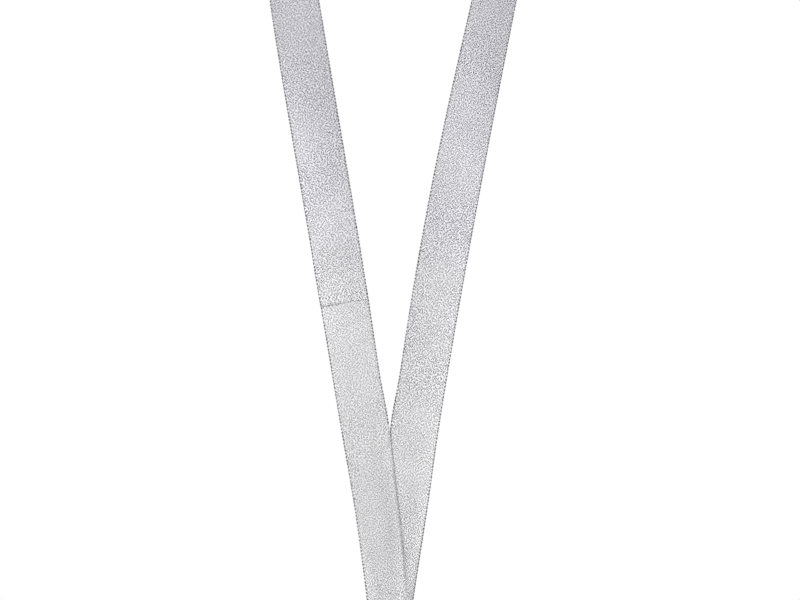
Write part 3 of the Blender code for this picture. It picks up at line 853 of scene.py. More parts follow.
def build_ribbon(cloth, yarn, glue):
    """The strip with its selvedge loops, and the film inside the lap."""
    across = np.linspace(-1.0, 1.0, ACROSS_CELLS + 1)
    grid = strip_surface(across)
    normals = surface_normals(grid)
    middle = grid[:, ACROSS_CELLS // 2]
    steps = np.linalg.norm(np.diff(middle, axis=0), axis=1)
    travel = np.concatenate([[0.0], np.cumsum(steps)])

    pinch = 1.0 - END_PINCH * (1.0 - smooth_step(0.0, END_LENGTH, travel[-1] - travel))
    pinch = pinch[:, None] * np.where(np.abs(across) < 1.0, 1.0, EDGE_PINCH)
    points, faces = thicken(grid, normals, RIBBON_THICKNESS / 2 * pinch[..., None])
    ribbon = mesh_object("ribbon_strip", points, faces)
    strip = np.zeros((len(points), 3), np.float32)
    u = np.tile(across * RIBBON_WIDTH / 2, len(grid))
    s = np.repeat(travel, len(across))
    strip[:, 0] = np.concatenate([u, u])
    strip[:, 1] = np.concatenate([s, s])
    strip[len(u) :, 2] = 0.05
    attribute = ribbon.data.attributes.new("strip", "FLOAT_VECTOR", "POINT")
    attribute.data.foreach_set("vector", strip.ravel())
    shade = painted_strip_shade(grid, across).ravel()
    attribute = ribbon.data.attributes.new("shade", "FLOAT", "POINT")
    attribute.data.foreach_set("value", np.concatenate([shade, shade]).astype(np.float32))
    ribbon.data.materials.append(cloth)
    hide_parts("ribbon_neck", "ribbon_front", "ribbon_left_upper")
    blend_at_shoulder(ribbon)

    for label, column in (("left", 0), ("right", ACROSS_CELLS)):
        loops = selvedge(f"selvedge_{label}", grid, normals, travel, column)
        loops.data.materials.append(yarn)
        blend_at_shoulder(loops)

    inner = places(LAP_START + END_LENGTH, LAP_START + LAP_LENGTH - 0.001, ALONG_STEP)
    rows = np.broadcast_to(inner[:, None], (len(inner), len(across)))
    film_grid = leg_points(-1, rows, 0.94 * across[None, :], 0.0 * rows + LAP_OFFSET / 2)
    points, faces = thicken(film_grid, surface_normals(film_grid), FILM_THICKNESS / 2)
    film = mesh_object("lap_film", points, faces)
    finish_piece(film, "front", "bond_film", glue, "lap_bond_film")


def bead_shape():
    """Points and faces of a unit ball with its poles along the first axis."""
    points = [(1.0, 0.0, 0.0)]
    for angle in np.linspace(0.0, math.pi, BEAD_STACKS + 1)[1:-1]:
        for spin in np.arange(BEAD_SLICES) * math.tau / BEAD_SLICES:
            reach = math.sin(angle)
            points.append((math.cos(angle), reach * math.cos(spin), reach * math.sin(spin)))
    points.append((-1.0, 0.0, 0.0))
    last = len(points) - 1
    base = last - BEAD_SLICES
    faces = []
    for k in range(BEAD_SLICES):
        following = (k + 1) % BEAD_SLICES
        faces += [(0, 1 + following, 1 + k), (last, base + k, base + following)]
    faces += [tuple(face) for face in grid_faces(BEAD_STACKS - 1, BEAD_SLICES, closed_columns=True, base=1)]
    return np.array(points), faces


def selvedge(name, grid, normals, travel, column):
    """A row of small yarn loops wrapped round one edge of the strip."""
    edge = grid[:, column]
    inward = grid[:, 1 if column == 0 else column - 1] - edge
    inward /= np.linalg.norm(inward, axis=1)[:, None]
    marks = np.arange(BEAD_PITCH / 2, travel[-1], BEAD_PITCH)

    def at(values):
        return np.stack([np.interp(marks, travel, values[:, k]) for k in range(3)], -1)

    centre = at(edge) + BEAD_INSET * at(inward)
    outward = -at(inward)
    outward /= np.linalg.norm(outward, axis=1)[:, None]
    up = at(normals[:, column])
    up /= np.linalg.norm(up, axis=1)[:, None]
    along = np.cross(outward, up)
    shape, one = bead_shape()
    half_length, half_width, half_thickness = BEAD_SIZE
    local = (
        along[:, None, :] * shape[None, :, 0:1] * half_length
        + outward[:, None, :] * shape[None, :, 1:2] * half_width
        + up[:, None, :] * shape[None, :, 2:3] * half_thickness
    )
    above = centre - np.array(BAR)
    pressed = (above[:, 0] > -0.002) & (above[:, 1] < 0.0) & (above[:, 2] > 0.0) & (above[:, 2] < SWELL_DROP)
    size = np.where(pressed, BEAD_CROSSING, 1.0)
    points = (centre[:, None, :] + local * size[:, None, None]).reshape(-1, 3)
    faces = []
    for index in range(len(marks)):
        offset = index * len(shape)
        faces.extend(tuple(corner + offset for corner in face) for face in one)
    return mesh_object(name, points, faces)


# ---------------------------------------------------------------- hook, eye and ring

EYE_WIRE = 0.0011
EYE_HALF_WIDTH = 0.00885
EYE_DROP = 0.0063
EYE_CORNER = 0.0022
BOSS_RADIUS = 0.0030
BOSS_HEIGHT = 0.0026
SWIVEL_GAP = 0.0003
RIVET_RADIUS = 0.0011
RIVET_HEAD_RADIUS = 0.0020
RIVET_DEPTH = 0.0030
HOOK_RADIUS = 0.0061
HOOK_HALF_WIDTH = 0.0013
HOOK_HALF_DEPTH = 0.0015
HOOK_NOSE_ANGLE = 350.0
GATE_PIVOT_ANGLE = 55.0
CHEEK_RADIUS = 0.0018
NOSE_THINNING = 0.0012
NECK_RADIUS = 0.0026
PIN_RADIUS = 0.0006
SLOT_HALF_DEPTH = 0.00095
SLOT_RADIUS = 0.0023
GATE_HALF_DEPTH = 0.0007
KNUCKLE_RADIUS = 0.0016
SPRING_RADIUS = 0.0010
SPRING_WIRE = 0.00015
RING_WIRE = 0.0008
REMESH_SCALE = 100.0
MELT_VOXEL = 0.00008
SHARP_CORNER = 60.0
BORE_GAP = 0.0001
TURNING_GAP = 0.00025
RING_GAP = 0.9


def melt(item, rounds):
    """Fuse a carved shape into one skin with small fillets, as a plated casting has."""
    item.data.transform(Matrix.Scale(REMESH_SCALE, 4))
    remesh = item.modifiers.new("skin", "REMESH")
    remesh.mode = "VOXEL"
    remesh.voxel_size = MELT_VOXEL * REMESH_SCALE
    soften = item.modifiers.new("soften", "SMOOTH")
    soften.factor = 0.5
    soften.iterations = rounds
    bpy.context.view_layer.update()
    apply_modifiers(item)
    item.data.transform(Matrix.Scale(1.0 / REMESH_SCALE, 4))
    item.data.shade_smooth()
    return item


def post(name, radius, low, high, edge=0.0002):
    """An upright cylinder with rounded rims, about the Z axis."""
    profile = [(0.0, high)]
    for place, turns in ((high - edge, (90.0, 60.0, 30.0, 0.0)), (low + edge, (0.0, -30.0, -60.0, -90.0))):
        for turn in turns:
            angle = math.radians(turn)
            profile.append((radius - edge + edge * math.cos(angle), place + edge * math.sin(angle)))
    profile.append((0.0, low))
    return lathe(name, profile, 64, axis="Z")


def cross_pin(name, radius, half_length, dome=0.0):
    """A cylinder along Y about the origin, with domed ends."""
    profile = [(0.0, half_length)]
    for share in (0.35, 0.65, 0.9, 1.0):
        profile.append((radius * share, half_length - dome * share**3))
    profile += [(radius * share, dome * share**3 - half_length) for share in (1.0, 0.9, 0.65, 0.35)]
    profile.append((0.0, -half_length))
    return lathe(name, profile, 48)


def round_off(outline, rounds):
    """Cut the corners of a closed outline again and again, which rounds them."""
    points = list(outline)
    for _ in range(rounds):
        cut = []
        for first, second in zip(points, points[1:] + points[:1]):
            cut.append(first.lerp(second, 0.25))
            cut.append(first.lerp(second, 0.75))
        points = cut
    return points


def build_eye(look):
    """The wire eye that holds the ribbon, cast in one with the boss that turns on the rivet."""
    half = EYE_HALF_WIDTH - EYE_CORNER
    low = EYE_CORNER - EYE_DROP
    corners = ((half, -EYE_CORNER, 90.0), (half, low, 0.0), (-half, low, -90.0), (-half, -EYE_CORNER, -180.0))
    path = []
    for x, z, start in corners:
        path += [Vector((x, 0.0, z)) + polar(EYE_CORNER, start - 7.5 * step) for step in range(13)]
    eye = sweep("eye", path, EYE_WIRE, 32, closed=True)
    boss_low = SWIVEL.z + SWIVEL_GAP - BAR.z
    boss = post("boss", BOSS_RADIUS, boss_low, boss_low + BOSS_HEIGHT, edge=0.0004)
    carve(eye, boss, "UNION")
    bore = post("bore", RIVET_RADIUS + TURNING_GAP, boss_low - 0.002, boss_low + BOSS_HEIGHT + 0.002)
    carve(eye, bore, "DIFFERENCE")
    melt(eye, 6)
    move(eye, BAR)
    finish_piece(eye, "eye", "nickel_plate", look, "swivel_eye")


def build_rivet(look):
    """A domed rivet, fast in the hook, on which the eye turns."""
    head_low = SWIVEL_GAP + BOSS_HEIGHT + 0.0001
    profile = []
    for step in range(9):
        angle = math.radians(90.0 - 10.0 * step)
        profile.append((RIVET_HEAD_RADIUS * math.cos(angle), head_low + 0.0002 + 0.0007 * math.sin(angle)))
    profile += [(RIVET_HEAD_RADIUS, head_low + 0.0002), (RIVET_HEAD_RADIUS - 0.00015, head_low)]
    profile += [(RIVET_RADIUS + 0.0001, head_low), (RIVET_RADIUS, head_low - 0.0001)]
    profile += [(RIVET_RADIUS, -RIVET_DEPTH + 0.0002), (RIVET_RADIUS - 0.0002, -RIVET_DEPTH)]
    profile.append((0.0, -RIVET_DEPTH))
    rivet = lathe("rivet", profile, 64, axis="Z")
    move(rivet, SWIVEL)
    finish_piece(rivet, "hook", "spring_steel", look, "swivel_rivet")


def hook_outline():
    """The C of the hook: thick cheeks at the gate pivot, and a nose that thins from the inside."""
    angles = np.arange(GATE_PIVOT_ANGLE, HOOK_NOSE_ANGLE + 0.1, 2.5)
    swell = (CHEEK_RADIUS - HOOK_HALF_WIDTH) * (1.0 - smooth_step(75.0, 110.0, angles))
    outer = HOOK_RADIUS + HOOK_HALF_WIDTH + swell
    inner = HOOK_RADIUS - HOOK_HALF_WIDTH - swell + NOSE_THINNING * smooth_step(300.0, 345.0, angles)
    points = [polar(radius, angle) for radius, angle in zip(outer, angles)]
    tip = polar((outer[-1] + inner[-1]) / 2, angles[-1])
    half = (outer[-1] - inner[-1]) / 2
    points += [tip + polar(half, angles[-1] + turn) for turn in range(20, 180, 20)]
    points += [polar(radius, angle) for radius, angle in zip(inner[::-1], angles[::-1])]
    pivot_point = polar(HOOK_RADIUS, GATE_PIVOT_ANGLE)
    back = GATE_PIVOT_ANGLE - 180.0
    points += [pivot_point + polar(CHEEK_RADIUS, back + turn) for turn in range(15, 180, 15)]
    return points


def build_hook(look, steel):
    """The hook body with its slot and bores, and the pin that carries the gate."""
    centre = GATE - polar(HOOK_RADIUS, GATE_PIVOT_ANGLE)
    neck_top = SWIVEL.z - centre.z
    hook = plate("hook", hook_outline(), HOOK_HALF_DEPTH)
    bevel(hook, 0.0008, 5)
    profile = [(0.0, neck_top), (NECK_RADIUS - 0.0003, neck_top), (NECK_RADIUS, neck_top - 0.0003)]
    profile += [(NECK_RADIUS, neck_top - 0.0016), (NECK_RADIUS - 0.0005, neck_top - 0.0022)]
    profile += [(NECK_RADIUS - 0.0006, neck_top - 0.0028), (NECK_RADIUS - 0.0002, HOOK_RADIUS + 0.0010)]
    profile += [(NECK_RADIUS, HOOK_RADIUS), (0.0, HOOK_RADIUS - 0.0004)]
    carve(hook, lathe("neck_guide", profile, 64, axis="Z"), "UNION")
    at_gate = polar(HOOK_RADIUS, GATE_PIVOT_ANGLE)
    carve(hook, move(cross_pin("slot", SLOT_RADIUS, SLOT_HALF_DEPTH), at_gate), "DIFFERENCE")
    carve(hook, move(cross_pin("pin_bore", PIN_RADIUS + BORE_GAP, 0.004), at_gate), "DIFFERENCE")
    socket = post("socket", RIVET_RADIUS + BORE_GAP, neck_top - RIVET_DEPTH - 0.0002, neck_top + 0.001)
    carve(hook, socket, "DIFFERENCE")
    melt(hook, 3)
    move(hook, centre)
    finish_piece(hook, "hook", "nickel_plate", look, "hook_body")

    pin = move(cross_pin("pin", PIN_RADIUS, HOOK_HALF_DEPTH - 0.00005, 0.0001), GATE)
    finish_piece(pin, "hook", "spring_steel", steel, "gate_pin")


def build_gate(look, steel):
    """The gate lever with its thumb tab, hollowed on one side for the spring."""
    at_gate = polar(HOOK_RADIUS, GATE_PIVOT_ANGLE)
    outer = ((0.00545, -27), (0.00545, -18), (0.00570, -8), (0.00640, 5), (0.00700, 20), (0.00735, 34))
    inner = ((0.00455, 30), (0.00450, 18), (0.00430, 2), (0.00415, -12), (0.00415, -27))
    tab = ((0.0017, -8), (0.0042, 14), (0.0048, 20), (0.0048, 27), (0.0042, 33), (0.0017, 68))
    outline = [polar(radius, angle) - at_gate for radius, angle in outer]
    outline += [polar(radius, angle) for radius, angle in tab]
    outline += [polar(KNUCKLE_RADIUS, angle) for angle in range(90, 241, 10)]
    outline += [polar(radius, angle) - at_gate for radius, angle in inner]
    gate = plate("gate", round_off(outline, 2), GATE_HALF_DEPTH)
    bevel(gate, 0.00018, 3)
    pocket = cross_pin("pocket", KNUCKLE_RADIUS + 0.00015, 0.0005)
    carve(gate, move(pocket, (0.0, 0.00045, 0.0)), "DIFFERENCE")
    carve(gate, cross_pin("gate_bore", PIN_RADIUS + 0.00015, 0.002), "DIFFERENCE")
    smooth_by_angle(gate, 30)
    move(gate, GATE)
    finish_piece(gate, "gate", "nickel_plate", look, "gate_lever")

    path = [polar(SPRING_RADIUS + 0.0008, 150) + Vector((0.0, 0.00015, 0.0))]
    for step in range(4 * 26 + 1):
        turn = step / 48.0
        point = polar(SPRING_RADIUS, 130 - 360 * turn)
        point.y = 0.00015 + min(0.0004 * turn, 0.00055)
        path.append(point)
    spring = sweep("spring", path, SPRING_WIRE, 12)
    move(spring, GATE)
    finish_piece(spring, "hook", "spring_steel", steel, "gate_spring")


def build_ring(look):
    """The jump ring, bent shut from wire, with its butt joint at the back."""
    low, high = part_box("jump_ring")
    radius = (high.z - low.z) / 2 - RING_WIRE
    centre = (low + high) / 2
    turns = np.radians(np.linspace(RING_GAP, 360.0 - RING_GAP, 121))
    path = [Vector((0.0, radius * math.cos(turn), radius * math.sin(turn))) for turn in turns]
    ring = sweep("ring", path, RING_WIRE, 28)
    bevel(ring, 0.00012, 2)
    smooth_by_angle(ring, 40)
    move(ring, centre)
    finish_piece(ring, "ring", "nickel_plate", look, "jump_ring")


# ---------------------------------------------------------------- medal

RIM_WIDTH = 0.0028
FIELD_DEPTH = 0.0030
RIDGE_DEPTH = 0.0034
RIDGE_WIDTH = 0.0006
ENAMEL_OUTER = 0.0200
ENAMEL_INNER = 0.0154
ENAMEL_FLOOR = 0.0024
ENAMEL_DEPTH = 0.0031
RECESS_RADIUS = 0.0130
RECESS_FLOOR = 0.0020
EAR_RADIUS = 0.0042
EAR_BORE = 0.0021
EAR_THICKNESS = 0.0024
EAR_HEIGHT = 0.0033
DISC_SIDES = 720
WREATH_RADIUS = 0.0239
WREATH_HEIGHT = 0.00075
LEAF_LENGTH = 0.0050
LEAF_HALF_WIDTH = 0.00115
LEAF_PAIRS = 15
WREATH_GAP = 16.0
ROPE_STRANDS = 96
RAY_COUNT = 48
BEAD_COUNT = 72
SOFT_WALL = 0.0001
BAND_INNER = 0.0172
BAND_OUTER = 0.0262
BACK_LINES = (0.0278, 0.0160)
LINE_WIDTH = 0.00018
BACK_TARNISH = 0.6
STAR_COUNT = 12
STAR_INNER = 0.42


def step_up(radius, place, softness):
    """0 inside a radius, 1 outside it, with a soft wall."""
    return smooth_step(place - softness, place + softness, radius)


def leaf(x, z, base_x, base_z, heading, length, half_width):
    """Height of one pointed leaf with a vein along its middle, 0 to 1."""
    along = (x - base_x) * math.cos(heading) + (z - base_z) * math.sin(heading)
    side = (z - base_z) * math.cos(heading) - (x - base_x) * math.sin(heading)
    share = np.clip(along / length, 0.0, 1.0)
    width = half_width * np.sin(math.pi * share**0.85) ** 0.8 + 1e-9
    inside = np.clip(1.0 - (side / width) ** 2, 0.0, 1.0)
    crown = np.sqrt(inside) * (0.55 + 0.45 * np.sin(math.pi * share))
    vein = 0.30 * np.exp(-((side / (0.09 * half_width + 0.00008)) ** 2)) * (inside > 0.0)
    return np.where((along > 0.0) & (along < length), crown - vein * crown, 0.0)


def wreath(x, z):
    """Height of two laurel branches that rise from the bottom, 0 to 1."""
    radius = np.hypot(x, z)
    turn = np.degrees(np.arctan2(np.abs(x), -z))
    stem = np.exp(-(((radius - WREATH_RADIUS) / 0.00030) ** 2)) * (turn < 180.0 - WREATH_GAP)
    height = 0.45 * stem
    span = 180.0 - WREATH_GAP - 14.0
    for pair in range(LEAF_PAIRS):
        place = math.radians(8.0 + span * pair / (LEAF_PAIRS - 1))
        size = 1.0 - 0.22 * (pair / (LEAF_PAIRS - 1)) ** 2
        base = (WREATH_RADIUS * math.sin(place), -WREATH_RADIUS * math.cos(place))
        for lean in (-34.0, 0.0, 34.0):
            reach = LEAF_LENGTH * size * (1.0 if lean else 0.92)
            heading = place + math.radians(lean)
            grown = leaf(np.abs(x), z, *base, heading, reach, LEAF_HALF_WIDTH * size)
            height = np.maximum(height, grown * (0.85 if lean else 1.0))
    ribbon_tie = np.exp(-((np.hypot(x, z + WREATH_RADIUS) / 0.0011) ** 4))
    return np.maximum(height, 0.9 * ribbon_tie)


def front_depth(radius, turn):
    """How far the front face stands off the flat back, at a radius and an angle."""
    x, z = radius * np.cos(turn), radius * np.sin(turn)
    inner_rim = MEDAL_RADIUS - RIM_WIDTH
    depth = RECESS_FLOOR + (RIDGE_DEPTH - RECESS_FLOOR) * step_up(radius, RECESS_RADIUS + 0.00008, 0.00008)
    channel = step_up(radius, ENAMEL_INNER + SOFT_WALL, SOFT_WALL)
    channel = channel * (1.0 - step_up(radius, ENAMEL_OUTER - SOFT_WALL, SOFT_WALL))
    depth = depth - (RIDGE_DEPTH - ENAMEL_FLOOR) * channel
    outside = step_up(radius, ENAMEL_OUTER + RIDGE_WIDTH + SOFT_WALL, SOFT_WALL)
    depth = depth - (RIDGE_DEPTH - FIELD_DEPTH) * outside
    depth = depth + (MEDAL_FRONT - FIELD_DEPTH) * step_up(radius, inner_rim - SOFT_WALL, SOFT_WALL)

    field = outside * (1.0 - step_up(radius, inner_rim - 0.0004, 0.0002))
    depth = depth + WREATH_HEIGHT * wreath(x, z) * field
    stipple = np.sin(turn * 260.0) * np.sin(radius / 0.00042 * math.pi)
    depth = depth + 0.00002 * stipple * field

    rope_middle, rope_half = MEDAL_RADIUS - 0.00155, 0.00062
    across = (radius - rope_middle) / rope_half
    bed = np.clip(1.0 - across**6, 0.0, 1.0)
    strand = 0.5 + 0.5 * np.cos(turn * ROPE_STRANDS + across * 1.9)
    rope = np.sqrt(np.clip(1.0 - across**2, 0.0, 1.0)) * (0.35 + 0.65 * np.sqrt(strand))
    depth = np.where(np.abs(across) < 1.0, depth - 0.00055 * bed + 0.00050 * rope, depth)

    bead_middle = (RECESS_RADIUS + ENAMEL_INNER) / 2
    pitch = math.tau / BEAD_COUNT
    beside = (np.mod(turn, pitch) / pitch - 0.5) * (math.tau * bead_middle / BEAD_COUNT)
    bead_reach = np.hypot(beside, radius - bead_middle)
    groove = np.exp(-(((radius - bead_middle) / 0.00062) ** 6))
    bead = np.sqrt(np.clip(1.0 - (bead_reach / 0.00052) ** 2, 0.0, 1.0))
    return depth + groove * (0.00042 * bead - 0.00034)


def back_depth(radius, turn):
    """How far the back face lies in front of the flat back plane."""
    band = step_up(radius, BAND_INNER, SOFT_WALL) * (1.0 - step_up(radius, BAND_OUTER, SOFT_WALL))
    wave = 0.5 + 0.5 * np.cos(turn * RAY_COUNT)
    rays = band * (0.00012 + 0.00010 * wave)
    line = sum(np.exp(-(((radius - place) / LINE_WIDTH) ** 2)) for place in BACK_LINES)
    return rays + 0.00010 * line


def build_medal_body(look):
    """The cast disc with its rope rim, laurel, enamel channel, bead ring and recess, and the ear."""
    edge = 0.0004
    front_radii = np.concatenate(
        [
            np.linspace(0.0008, RECESS_RADIUS - 0.0004, 6),
            np.linspace(RECESS_RADIUS - 0.00005, ENAMEL_INNER - 0.00005, 20),
            np.linspace(ENAMEL_INNER, ENAMEL_INNER + 0.0002, 4),
            np.linspace(ENAMEL_INNER + 0.0008, ENAMEL_OUTER - 0.0008, 3),
            np.linspace(ENAMEL_OUTER - 0.0002, ENAMEL_OUTER, 4),
            np.linspace(ENAMEL_OUTER + 0.0001, MEDAL_RADIUS - RIM_WIDTH - 0.0003, 54),
            np.linspace(MEDAL_RADIUS - RIM_WIDTH - 0.0002, MEDAL_RADIUS - edge, 26),
        ]
    )
    back_radii = np.concatenate(
        [
            np.linspace(MEDAL_RADIUS - edge, BAND_OUTER, 14),
            np.linspace(BAND_OUTER - SOFT_WALL, BAND_INNER, 26),
            np.linspace(BAND_INNER - SOFT_WALL, 0.0008, 16),
        ]
    )
    rounding = np.radians(np.array([65.0, 40.0, 15.0]))
    turn = np.arange(DISC_SIDES) * math.tau / DISC_SIDES

    rings, depths = [], []

    def add_ring(radius, depth):
        rings.append(radius + 0.0 * turn)
        depths.append(depth + 0.0 * turn)

    for radius in front_radii:
        add_ring(radius, front_depth(radius + 0.0 * turn, turn))
    for angle in rounding:
        add_ring(MEDAL_RADIUS - edge + edge * math.cos(angle), MEDAL_FRONT - edge + edge * math.sin(angle))
    reeding = 0.00006 * (0.5 - 0.5 * np.cos(turn * 180.0))
    for share in (0.0, 0.12, 0.5, 0.88, 1.0):
        radius = MEDAL_RADIUS - (reeding if 0.0 < share < 1.0 else 0.0)
        add_ring(radius, (MEDAL_FRONT - edge) * (1.0 - share) + edge * share)
    for angle in rounding[::-1]:
        add_ring(MEDAL_RADIUS - edge + edge * math.cos(angle), edge - edge * math.sin(angle))
    for radius in back_radii:
        add_ring(radius, back_depth(radius + 0.0 * turn, turn))
    rings, depths = np.array(rings), np.array(depths)
    points = np.stack([rings * np.cos(turn), -depths, rings * np.sin(turn)], -1).reshape(-1, 3)
    medal = capped_disc("medal", points, DISC_SIDES, (0.0, -RECESS_FLOOR, 0.0), (0.0, 0.0, 0.0))

    ear_centre = Vector((0.0, -MEDAL_FRONT / 2, MEDAL_RADIUS + EAR_HEIGHT))
    foot = MEDAL_RADIUS - 0.0015 - ear_centre.z
    outline = [polar(EAR_RADIUS, 5.0 * step) for step in range(37)]
    flank = [(-0.00425, -0.0010), (-0.0046, -0.0020), (-0.0054, -0.0030), (-0.0065, -0.0038), (-0.0065, foot)]
    outline += [Vector((x, 0.0, z)) for x, z in flank]
    outline += [Vector((-x, 0.0, z)) for x, z in reversed(flank)]
    ear = plate("ear", outline, EAR_THICKNESS / 2)
    bevel(ear, 0.0005, 4)
    carve(ear, cross_pin("ear_bore", EAR_BORE, 0.004), "DIFFERENCE")
    bevel(ear, 0.00035, 3)
    move(ear, ear_centre)
    carve(medal, ear, "UNION")
    smooth_by_angle(medal, 50)
    finish_piece(medal, "medal", "antique_silver", look, "medal_body")


def faceted_star(name, radius, low, high):
    """A five-pointed star whose rays fold to a raised centre, standing from depth low to high."""
    count = 10
    rim_depth = low + (high - low) * 0.55
    outline = []
    for step in range(count):
        reach = radius if step % 2 == 0 else radius * STAR_INNER
        outline.append(polar(reach, 90.0 + 360.0 * step / count))
    points = [(point.x, -depth, point.z) for depth in (low, rim_depth) for point in outline]
    faces = [tuple(range(count))]
    for index in range(count):
        following = (index + 1) % count
        faces.append((index, following, count + following, count + index))
        faces.append((count + index, count + following, 2 * count))
    return bmesh_object(name, bmesh_shape(points + [(0.0, -high, 0.0)], faces), 10.0)


def build_enamel(look, metal):
    """The enamel ring, its surface drawn up a little at both walls, with small stars let into it."""
    wall = 0.0003
    outer, inner = ENAMEL_OUTER - wall, ENAMEL_INNER + wall
    surface = []
    for share in np.linspace(0.0, 1.0, 15):
        lift = 0.00012 * (2.0 * share - 1.0) ** 6
        surface.append((outer + (inner - outer) * share, -ENAMEL_DEPTH - lift))
    floor = ENAMEL_FLOOR + 0.00005
    profile = surface + [(inner, -floor), (outer, -floor)]
    ring = lathe("enamel", profile, 240, closed=True, sharp=40.0)
    finish_piece(ring, "medal", "graphite_enamel", look, "enamel_ring")

    middle = (ENAMEL_OUTER + ENAMEL_INNER) / 2
    stars = []
    for index in range(STAR_COUNT):
        angle = 90.0 + 360.0 / STAR_COUNT * index
        one = faceted_star(f"star_{index}", 0.00155, ENAMEL_DEPTH - 0.0002, ENAMEL_DEPTH + 0.00035)
        one.data.transform(Matrix.Rotation(math.radians(90.0 - angle), 4, "Y"))
        stars.append(move(one, polar(middle, angle)))
    studs = join("enamel_stars", stars)
    smooth_by_angle(studs, 10)
    finish_piece(studs, "medal", "antique_silver", metal)


def build_centre(glue, disc_look, resin):
    """The stack in the recess: adhesive, a pressed disc with a rayed star, and the clear dome."""
    low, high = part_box("insert_adhesive")
    glue_disc = lathe("adhesive", rounded_disc(high.x, -high.y, -low.y, 0.00005), 96)
    finish_piece(glue_disc, "medal", "bond_film", glue, "insert_adhesive")

    low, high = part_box("centre_insert")
    insert = pressed_disc("insert", high.x, -high.y, -low.y)
    finish_piece(insert, "medal", "printed_disc", disc_look, "centre_insert")

    low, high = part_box("resin_dome")
    back, front, radius = -high.y, -low.y, high.x
    profile = [(0.0, -back), (radius - 0.00005, -back), (radius, -back - 0.00005)]
    for step in range(1, 25):
        angle = 0.5 * math.pi * step / 24
        depth = back + 0.00005 + (front - back - 0.00005) * math.sin(angle)
        profile.append((radius * math.cos(angle) ** 0.9, -depth))
    profile[-1] = (0.0, -front)
    dome = lathe("dome", profile, 144)
    finish_piece(dome, "medal", "clear_resin", resin, "resin_dome")


def rounded_disc(radius, back, front, edge):
    """Profile of a disc between two depths, with a small chamfer."""
    rear = [(0.0, -back), (radius - edge, -back), (radius, -back - edge)]
    return rear + [(radius, -front + edge), (radius - edge, -front), (0.0, -front)]


def pressed_disc(name, radius, back, front):
    """A thin disc pressed with fine rays round a raised star."""
    sides, rows = 360, 60
    turn = np.arange(sides) * math.tau / sides
    radii = np.linspace(0.0001, radius - 0.00012, rows)
    grid_r, grid_t = np.meshgrid(radii, turn, indexing="ij")
    tips = np.mod(grid_t - math.pi / 2 + math.pi / 5, math.tau / 5) - math.pi / 5
    outer, inner = 0.0078, 0.0033
    corner = math.pi / 5
    run = np.abs(tips)
    edge_reach = outer * inner * math.sin(corner) / (inner * np.sin(corner - run) + outer * np.sin(run))
    share = np.clip(1.0 - grid_r / edge_reach, 0.0, 1.0)
    body = np.where(grid_r < edge_reach, 0.00006 + 0.00014 * share, 0.0)
    rays = 0.00003 * (0.5 + 0.5 * np.cos(grid_t * 72)) * smooth_step(0.0034, 0.0050, grid_r)
    rays = rays * (1.0 - smooth_step(0.0108, 0.0110, grid_r)) * (grid_r > edge_reach)
    line = 0.00008 * np.exp(-(((grid_r - 0.0113) / 0.00022) ** 2))
    relief = np.minimum(body + rays + line, 0.00018)
    depth = front - 0.00018 + relief
    points = np.stack([grid_r * np.cos(grid_t), -depth, grid_r * np.sin(grid_t)], -1).reshape(-1, 3)
    rim = []
    for reach, place in ((radius, front - 0.00018), (radius, back), (radius * 0.5, back)):
        rim.append(np.stack([reach * np.cos(turn), np.full(sides, -place), reach * np.sin(turn)], -1))
    points = np.concatenate([points] + rim)
    item = capped_disc(name, points, sides, (0.0, -front, 0.0), (0.0, -back, 0.0))
    raised = np.zeros(len(points) + 2, np.float32)
    raised[: rows * sides] = np.clip(relief / 0.00005, 0.0, 1.0).ravel()
    raised[len(points)] = 1.0
    item.data.attributes.new("raised", "FLOAT", "POINT").data.foreach_set("value", raised)
    return smooth_by_angle(item, 40)


# ---------------------------------------------------------------- stage


def soft_light(name, place, size, power, aim):
    """A square area light that looks at a point."""
    data = bpy.data.lights.new(name, "AREA")
    data.shape = "SQUARE"
    data.size = size
    data.energy = power
    item = add_object(name, data)
    item.location = place
    item.rotation_euler = (Vector(aim) - Vector(place)).to_track_quat("-Z", "Y").to_euler()


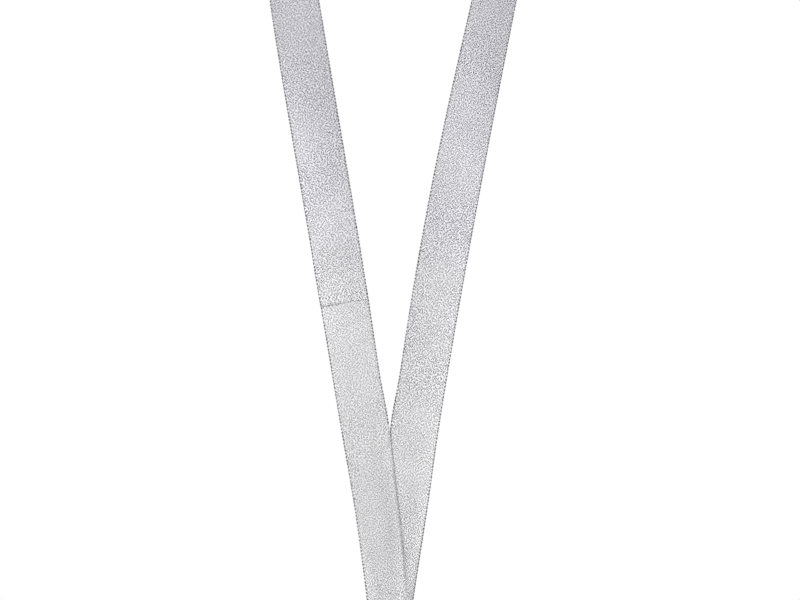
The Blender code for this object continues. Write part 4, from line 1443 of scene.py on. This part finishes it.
def build_world():
    """A white surround: it shows pure white, and lights the ribbon a little less than that."""
    world = bpy.data.worlds.new("studio")
    look = Tree(world, "Background", "World Output")
    look.principled(Color=(1.0, 1.0, 1.0), Strength=1.0)
    aside = look.math("ABSOLUTE", look.split(look.node("TexCoord", output="Generated"))[0])
    strength = look.add(look.times(aside, WORLD_LIGHT * WORLD_SIDES), WORLD_LIGHT)
    lit = look.node("Background", inputs={"Color": (*WORLD_TINT, 1.0), "Strength": strength})
    seen = look.node("LightPath", output="Is Camera Ray")
    both = look.node("MixShader", inputs={0: seen, 1: lit, 2: look.shader.outputs[0]})
    look.set(look.output.inputs["Surface"], both)
    bpy.context.scene.world = world
    bpy.context.scene.view_settings.view_transform = "Standard"


def build_stage(pale):
    """Floor, lights and camera."""
    sides, rows = 96, 16
    turn = np.arange(sides) * math.tau / sides
    circle = np.stack([np.cos(turn), -np.sin(turn), 0.0 * turn], -1)
    rings = [radius * circle for radius in np.linspace(0.00001, FLOOR_RADIUS, rows)]
    floor = mesh_object("floor", np.concatenate(rings), grid_faces(rows, sides, closed_columns=True))
    floor.location.z = MEDAL_LOW.z - FLOOR_DROP
    floor.data.materials.append(pale)

    middle = (0.0, BAR.y, BAR.z + VIEW_RISE)
    soft_light("key", KEY_PLACE, FRONT_LIGHT_SIZE, KEY_POWER, middle)
    soft_light("fill", FILL_PLACE, FRONT_LIGHT_SIZE, FILL_POWER, middle)
    soft_light("back", BACK_PLACE, BACK_LIGHT_SIZE, BACK_POWER, middle)

    data = bpy.data.cameras.new("camera")
    data.lens = LENS
    data.sensor_width = SENSOR
    distance = VIEW_WIDTH * LENS / SENSOR
    camera = add_object("camera", data)
    camera.location = (VIEW_X, BAR.y - distance, BAR.z + VIEW_RISE)
    camera.rotation_euler = (math.pi / 2, 0.0, 0.0)
    bpy.context.scene.camera = camera


def main():
    nickel = plated_material("nickel_plate", (0.60, 0.59, 0.575), 0.12, 0.4)
    steel = plated_material("spring_steel", (0.60, 0.60, 0.61), 0.22, 0.8)
    silver = antique_material()
    film = film_material()
    build_ribbon(lurex_material(), selvedge_material(), film)
    build_eye(nickel)
    build_rivet(steel)
    build_hook(nickel, steel)
    build_gate(nickel, steel)
    build_ring(nickel)
    build_medal_body(silver)
    build_enamel(enamel_material(), silver)
    build_centre(film, insert_material(), resin_material())
    build_world()
    build_stage(floor_material())


main()
